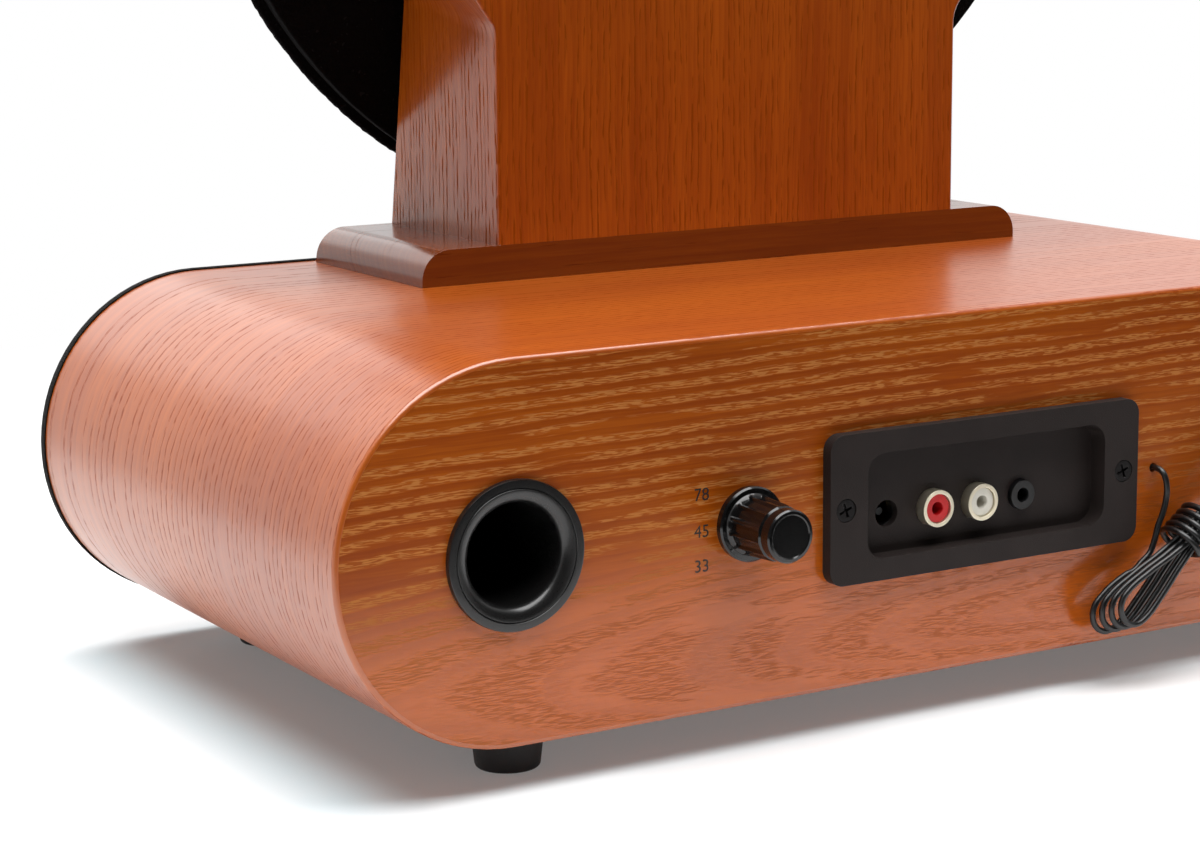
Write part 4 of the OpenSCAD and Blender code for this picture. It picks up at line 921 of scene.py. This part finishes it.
class PLAYER_OT_grille(Step):
    """Stretches the cloth over the front of the grille frame and round its edge"""

    bl_idname = "player.grille"
    bl_label = "Grille"

    def dress(self, scene):
        proud = 0.8 * MM
        softened("grille_frame", 0.25 * MM)
        bm = merged_copy("grille_cloth")
        low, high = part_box("grille_cloth")
        back = [face for face in bm.faces if face.normal.y > 0.9]
        bmesh.ops.delete(bm, geom=back, context="FACES")
        rim = [edge for edge in bm.edges if edge.is_boundary and self.outside(edge)]
        wall = {vert for edge in rim for vert in edge.verts}
        for vert in bm.verts:
            in_front = abs(vert.co.y - low.y) < 0.01 * MM
            if vert in wall or (in_front and self.at_rim(vert)):
                push_out(vert, proud)
        fold = SHELL_LOW.y - 0.05 * MM - high.y
        grown = bmesh.ops.extrude_edge_only(bm, edges=rim)["geom"]
        hem = [part for part in grown if isinstance(part, bmesh.types.BMVert)]
        bmesh.ops.translate(bm, vec=(0.0, fold, 0.0), verts=hem)
        bmesh.ops.recalc_face_normals(bm, faces=bm.faces)
        round_edges(bm, 0.5 * MM, 3, self.outside)
        cloth = replacement("grille_cloth_stretched", bm, "grille_cloth", sharp=SHARP_CLOTH)
        thick = cloth.modifiers.new("cloth_thickness", "SOLIDIFY")
        thick.thickness = 0.25 * MM
        thick.offset = -1.0

    def at_rim(self, vert):
        return outside_base(vert.co) > -1.0 * MM

    def outside(self, edge):
        return all(self.at_rim(vert) for vert in edge.verts)


class PLAYER_OT_tower(Step):
    """Rounds the plinth and the tower, and leaves the joint of its front board tight"""

    bl_idname = "player.tower"
    bl_label = "Tower"

    def dress(self, scene):
        width = scene.player_sizes.wood_round
        softened("tower_plinth", 0.6 * MM, 3)
        for node in ("tower_case", "tower_face"):
            softened(node, width, 3, wanted=self.off_the_joint, shaped=self.square_shoulders)

    def square_shoulders(self, bm):
        """Turns the bends under the shoulders square to the leaning face, so that they rise forwards"""
        above_foot = PLINTH_TOP + 9.0 * MM
        back_rise = 1.0 * MM
        shoulder_drop = 60.0 * MM
        slope = -FACE_OUT.z / FACE_OUT.y
        for vert in bm.verts:
            if self.on_bend(vert) and vert.co.z > above_foot:
                rise = back_rise + (TOWER_BACK - vert.co.y) * slope
                on_back = abs(vert.co.y - TOWER_BACK) < 0.1 * MM
                vert.co += UP * rise if on_back else FACE_UP * (rise / FACE_UP.z)
        slanted = []
        for edge in bm.edges:
            low, high = sorted(edge.verts, key=lambda vert: vert.co.z)
            if high.co.z - low.co.z > shoulder_drop and self.on_bend(low):
                slanted.append(edge)
        bmesh.ops.subdivide_edges(bm, edges=slanted, cuts=12, use_grid_fill=True)

    def on_bend(self, vert):
        """True on the sides of the neck and as far past them as the bends reach"""
        inside_neck = 74.0 * MM
        past_bend = 78.0 * MM
        return inside_neck < abs(vert.co.x) < past_bend

    def off_the_joint(self, edge):
        """True for edges away from the joint between case and front board and from the tower's foot"""
        board = 8.0 * MM
        for vert in edge.verts:
            depth = -(vert.co - SPINDLE).dot(FACE_OUT)
            if abs(depth - board) > 0.1 * MM and vert.co.z > PLINTH_TOP + 0.1 * MM:
                return True
        return False


class PLAYER_OT_rear_fittings(Step):
    """Dresses the ports, the jack plate with its sockets, the speed knob and the printed speeds"""

    bl_idname = "player.rear_fittings"
    bl_label = "Rear fittings"

    def dress(self, scene):
        sizes = scene.player_sizes
        for node in ("bass_port_left", "bass_port_right"):
            self.port(node)
        softened("jack_plate", sizes.plastic_round, 3)
        for node in ("rca_shells", "rca_insert_red", "rca_insert_white", "aux_jack", "dc_jack",
                     "switch_nut", "plate_screws"):
            softened(node, 0.15 * MM)
        self.power_contact()
        self.speed_knob(sizes.speed_ribs)
        numeral_x = 82.5 * MM
        for text, z in (("78", 63.9), ("45", 55.1), ("33", 46.8)):
            self.numeral(text, numeral_x, z * MM, sizes.numeral_height)

    def port(self, node):
        """A bass port: flat flange with a fine groove round a flared mouth"""
        low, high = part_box(node)
        inner_end = (low.y - REAR_Y) / MM
        proud = (high.y - REAR_Y) / MM
        lip = (high.x - low.x) / 2 / MM
        throat = 11.9
        wall = 1.8
        flat = lip - 2.4
        mouth = 2.6
        steps = 12
        profile = [
            (throat, inner_end), (throat + wall, inner_end), (throat + wall, 0.0), (lip, 0.0),
            (lip, proud - 0.4), (lip - 0.12, proud - 0.12), (lip - 0.4, proud), (flat + 0.5, proud),
            (flat + 0.3, proud - 0.25), (flat + 0.1, proud), (flat - 0.1, proud),
        ]
        for step in range(1, steps + 1):
            angle = math.radians(90.0 * step / steps)
            height = proud - mouth * (1.0 - math.cos(angle))
            profile.append((flat - (flat - throat) * math.sin(angle), height))
        place = on_rear((low + high) / 2)
        replacement(node + "_flared", spun(profile, 128), node, place, SHARP_TURNED)

    def power_contact(self):
        """The sprung contact in the mouth of the power socket"""
        low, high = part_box("dc_jack")
        depth = 9.0 * MM
        inner = 2.9
        outer = 3.2
        bm = spun([(inner, 0.0), (outer, 0.0), (outer, 7.0), (inner, 7.2)], 64)
        place = on_rear((low + high) / 2, high.y - REAR_Y - depth)
        finished_piece("power_contact", bm, "bearing_brass", "player", place, SHARP_TURNED)

    def speed_knob(self, ribs):
        """A ribbed knob on a round skirt, with an index rib that points at the speed"""
        low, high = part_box("speed_knob")
        spot = Vector(JOINTS["speed_turn"]["pos_m"])
        length = (high.y - low.y) / MM
        rest_turn = math.radians(41.0)
        place = on_rear(spot, low.y - REAR_Y) @ Matrix.Rotation(rest_turn, 4, "Z")
        pattern = (0.0, 0.4) + 7 * (1.0,) + (0.4,)
        rings = [
            (0.0, 6.6), (0.0, 8.7), (0.3, 9.0), (1.8, 9.0), (2.2, 8.6), (2.25, 7.5), (2.6, 7.3),
            (3.1, 7.2, 0.6), (13.2, 6.75, 0.6), (13.8, 6.6, 0.1), (14.2, 6.1), (14.5, 6.1), (14.7, 6.3),
            (length - 0.5, 6.3), (length - 0.1, 5.95), (length, 5.3), (length - 0.25, 5.0),
            (length - 0.25, 0.4),
        ]
        bm = fluted(rings, ribs, pattern)
        replacement("speed_knob_fluted", bm, "speed_knob", place, SHARP_TURNED)
        bar("speed_pointer", (1.5, 0.7, 0.6), (-7.7, 0.0, 2.2), place, "knob_plastic", "speed_dial")

    def numeral(self, text, x, z, height):
        """Plain numerals printed on the rear panel"""
        numeral_share = 0.72
        film = 0.02 * MM
        data = bpy.data.curves.new("speed_" + text, "FONT")
        data.body = text
        data.size = height / numeral_share
        data.align_x = data.align_y = "CENTER"
        data.extrude = film
        drawn = bpy.data.objects.new("speed_" + text, data)
        mesh = bpy.data.meshes.new_from_object(drawn)
        bpy.data.objects.remove(drawn)
        turn = Matrix(((-1, 0, 0), (0, 0, 1), (0, 1, 0))).transposed().to_4x4()
        mesh.transform(Matrix.Translation((x, REAR_Y + film, z)) @ turn)
        mesh.materials.append(finish_of("ink"))
        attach(new_object("speed_numeral_" + text, mesh), "player")


class PLAYER_OT_front_controls(Step):
    """Dresses the control panel, its window, the ribbed knobs and the push buttons"""

    bl_idname = "player.front_controls"
    bl_label = "Front controls"

    def dress(self, scene):
        softened("control_panel", 0.8 * MM, 3)
        softened("display_window", 0.3 * MM)
        for node in ("power_button", "source_button", "skip_button"):
            softened(node, 0.4 * MM, 3)
        for name in ("volume", "tuning"):
            self.knob(name, scene.player_sizes.knob_ribs)

    def knob(self, name, ribs):
        """A ribbed knob with a white mark on its hollowed cap"""
        node = name + "_knob"
        spot = Vector(JOINTS[name + "_turn"]["pos_m"])
        length = 18.7
        cap = length - 0.35
        spot.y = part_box(node)[0].y + length * MM
        place = axes_at(spot, -BACKWARDS, UP)
        rings = [
            (0.0, 12.6), (0.0, 13.6), (0.4, 14.0), (1.4, 14.0), (1.8, 13.7, 0.5),
            (length - 2.6, 13.5, 0.5), (length - 2.0, 13.4), (length - 1.2, 13.2), (length - 0.3, 12.6),
            (length, 11.8), (cap, 11.3), (cap, 0.5),
        ]
        replacement(node + "_ribbed", fluted(rings, ribs), node, place, SHARP_TURNED)
        bar(node + "_mark", (1.1, 6.4, 0.5), (0.0, 7.6, cap), place, "jack_white", name + "_dial")


class PLAYER_OT_turntable(Step):
    """Dresses the platter, the felt mat with its rough edge, and the record clamp"""

    bl_idname = "player.turntable"
    bl_label = "Turntable"

    def dress(self, scene):
        softened("platter", 0.6 * MM, 3)
        self.mat()
        self.clamp()

    def mat(self):
        """The felt mat, with a fluffy edge"""
        outer = 151.0
        hole = 4.0
        low = 9.5
        top = 12.0
        profile = [
            (hole, top), (60.0, top), (120.0, top), (outer - 1.6, top), (outer - 0.5, top - 0.35),
            (outer, top - 1.1), (outer - 0.1, low + 0.6), (outer - 0.7, low), (120.0, low), (hole, low),
        ]
        bm = spun(profile, 720)
        for vert in bm.verts:
            if vert.co.xy.length > (outer - 1.0) * MM:
                wave = noise.noise(vert.co * 900.0) + 0.6 * noise.noise(vert.co * 2300.0)
                vert.co.xy *= 1.0 + 0.0021 * (wave - 0.75)
        mat = replacement("felt_mat_laid", bm, "felt_mat", on_spindle(0.0), SHARP_CLOTH)

    def clamp(self):
        """The record clamp, with a knurled edge and a stepped top"""
        foot = 12.2 * MM
        rings = [
            (0.0, 20.4), (0.0, 21.4), (0.5, 22.0), (2.6, 22.0), (3.1, 21.4), (3.6, 21.6, 0.5),
            (12.0, 21.6, 0.5), (12.6, 21.4), (13.2, 21.9), (14.4, 21.5), (16.6, 19.4), (17.0, 18.4),
            (16.7, 17.6), (16.7, 6.5), (16.3, 6.0), (16.3, 0.4),
        ]
        bm = fluted(rings, 72)
        replacement("record_clamp_knurled", bm, "record_clamp", on_spindle(foot), SHARP_TURNED)


class PLAYER_OT_tonearm(Step):
    """Dresses the tonearm: turret, yoke, tube, knurled counterweight, headshell and rest"""

    bl_idname = "player.tonearm"
    bl_label = "Tonearm"

    def dress(self, scene):
        width = scene.player_sizes.metal_round
        for node in ("arm_turret", "arm_yoke", "arm_tube", "headshell", "arm_rest"):
            softened(node, width, 3)
        self.counterweight()

    def counterweight(self):
        """The counterweight behind the arm's hinge, with a knurled grip"""
        behind = 22.0 * MM
        hinge = Vector(JOINTS["arm_lift"]["pos_m"])
        ahead = FACE_OUT.cross(Vector(JOINTS["arm_lift"]["axis"]).normalized())
        if ahead.z > 0.0:
            ahead = -ahead
        place = axes_at(hinge - ahead * behind, -ahead, FACE_OUT)
        rings = [
            (0.0, 3.55), (0.0, 12.6), (0.8, 13.4), (5.0, 13.4), (5.4, 12.6), (6.2, 12.6), (6.6, 13.6),
            (7.0, 14.0, 0.4), (22.4, 14.0, 0.4), (22.8, 13.6), (25.2, 13.4), (26.0, 12.6), (26.0, 3.55),
        ]
        bm = fluted(rings, 60)
        replacement("counterweight_knurled", bm, "counterweight", place, SHARP_TURNED)


class PLAYER_PT_panel(bpy.types.Panel):
    """Lists the steps that dress the record player, with their settings"""

    bl_idname = "PLAYER_PT_panel"
    bl_label = "Record player"
    bl_space_type = "VIEW_3D"
    bl_region_type = "UI"
    bl_category = "Record player"

    def draw(self, context):
        scene = context.scene
        for step in STEPS:
            self.layout.operator(step.bl_idname)
        for group, kind in GROUPS.items():
            for name in kind.__annotations__:
                self.layout.prop(getattr(scene, group), name)


STEPS = (
    PLAYER_OT_studio,
    PLAYER_OT_aerial,
    PLAYER_OT_finishes,
    PLAYER_OT_cabinet,
    PLAYER_OT_grille,
    PLAYER_OT_tower,
    PLAYER_OT_rear_fittings,
    PLAYER_OT_front_controls,
    PLAYER_OT_turntable,
    PLAYER_OT_tonearm,
)
GROUPS = {
    "player_sizes": PlayerSizes,
    "player_colours": PlayerColours,
    "studio_settings": StudioSettings,
}
CLASSES = (*GROUPS.values(), *STEPS, PLAYER_PT_panel)


def register():
    for kind in CLASSES:
        bpy.utils.register_class(kind)
    for name, group in GROUPS.items():
        setattr(bpy.types.Scene, name, PointerProperty(type=group))


def unregister():
    for name in GROUPS:
        delattr(bpy.types.Scene, name)
    for kind in reversed(CLASSES):
        bpy.utils.unregister_class(kind)


def main():
    register()
    for step in STEPS:
        group, name = step.bl_idname.split(".")
        getattr(getattr(bpy.ops, group), name)()


if __name__ == "__main__":
    main()
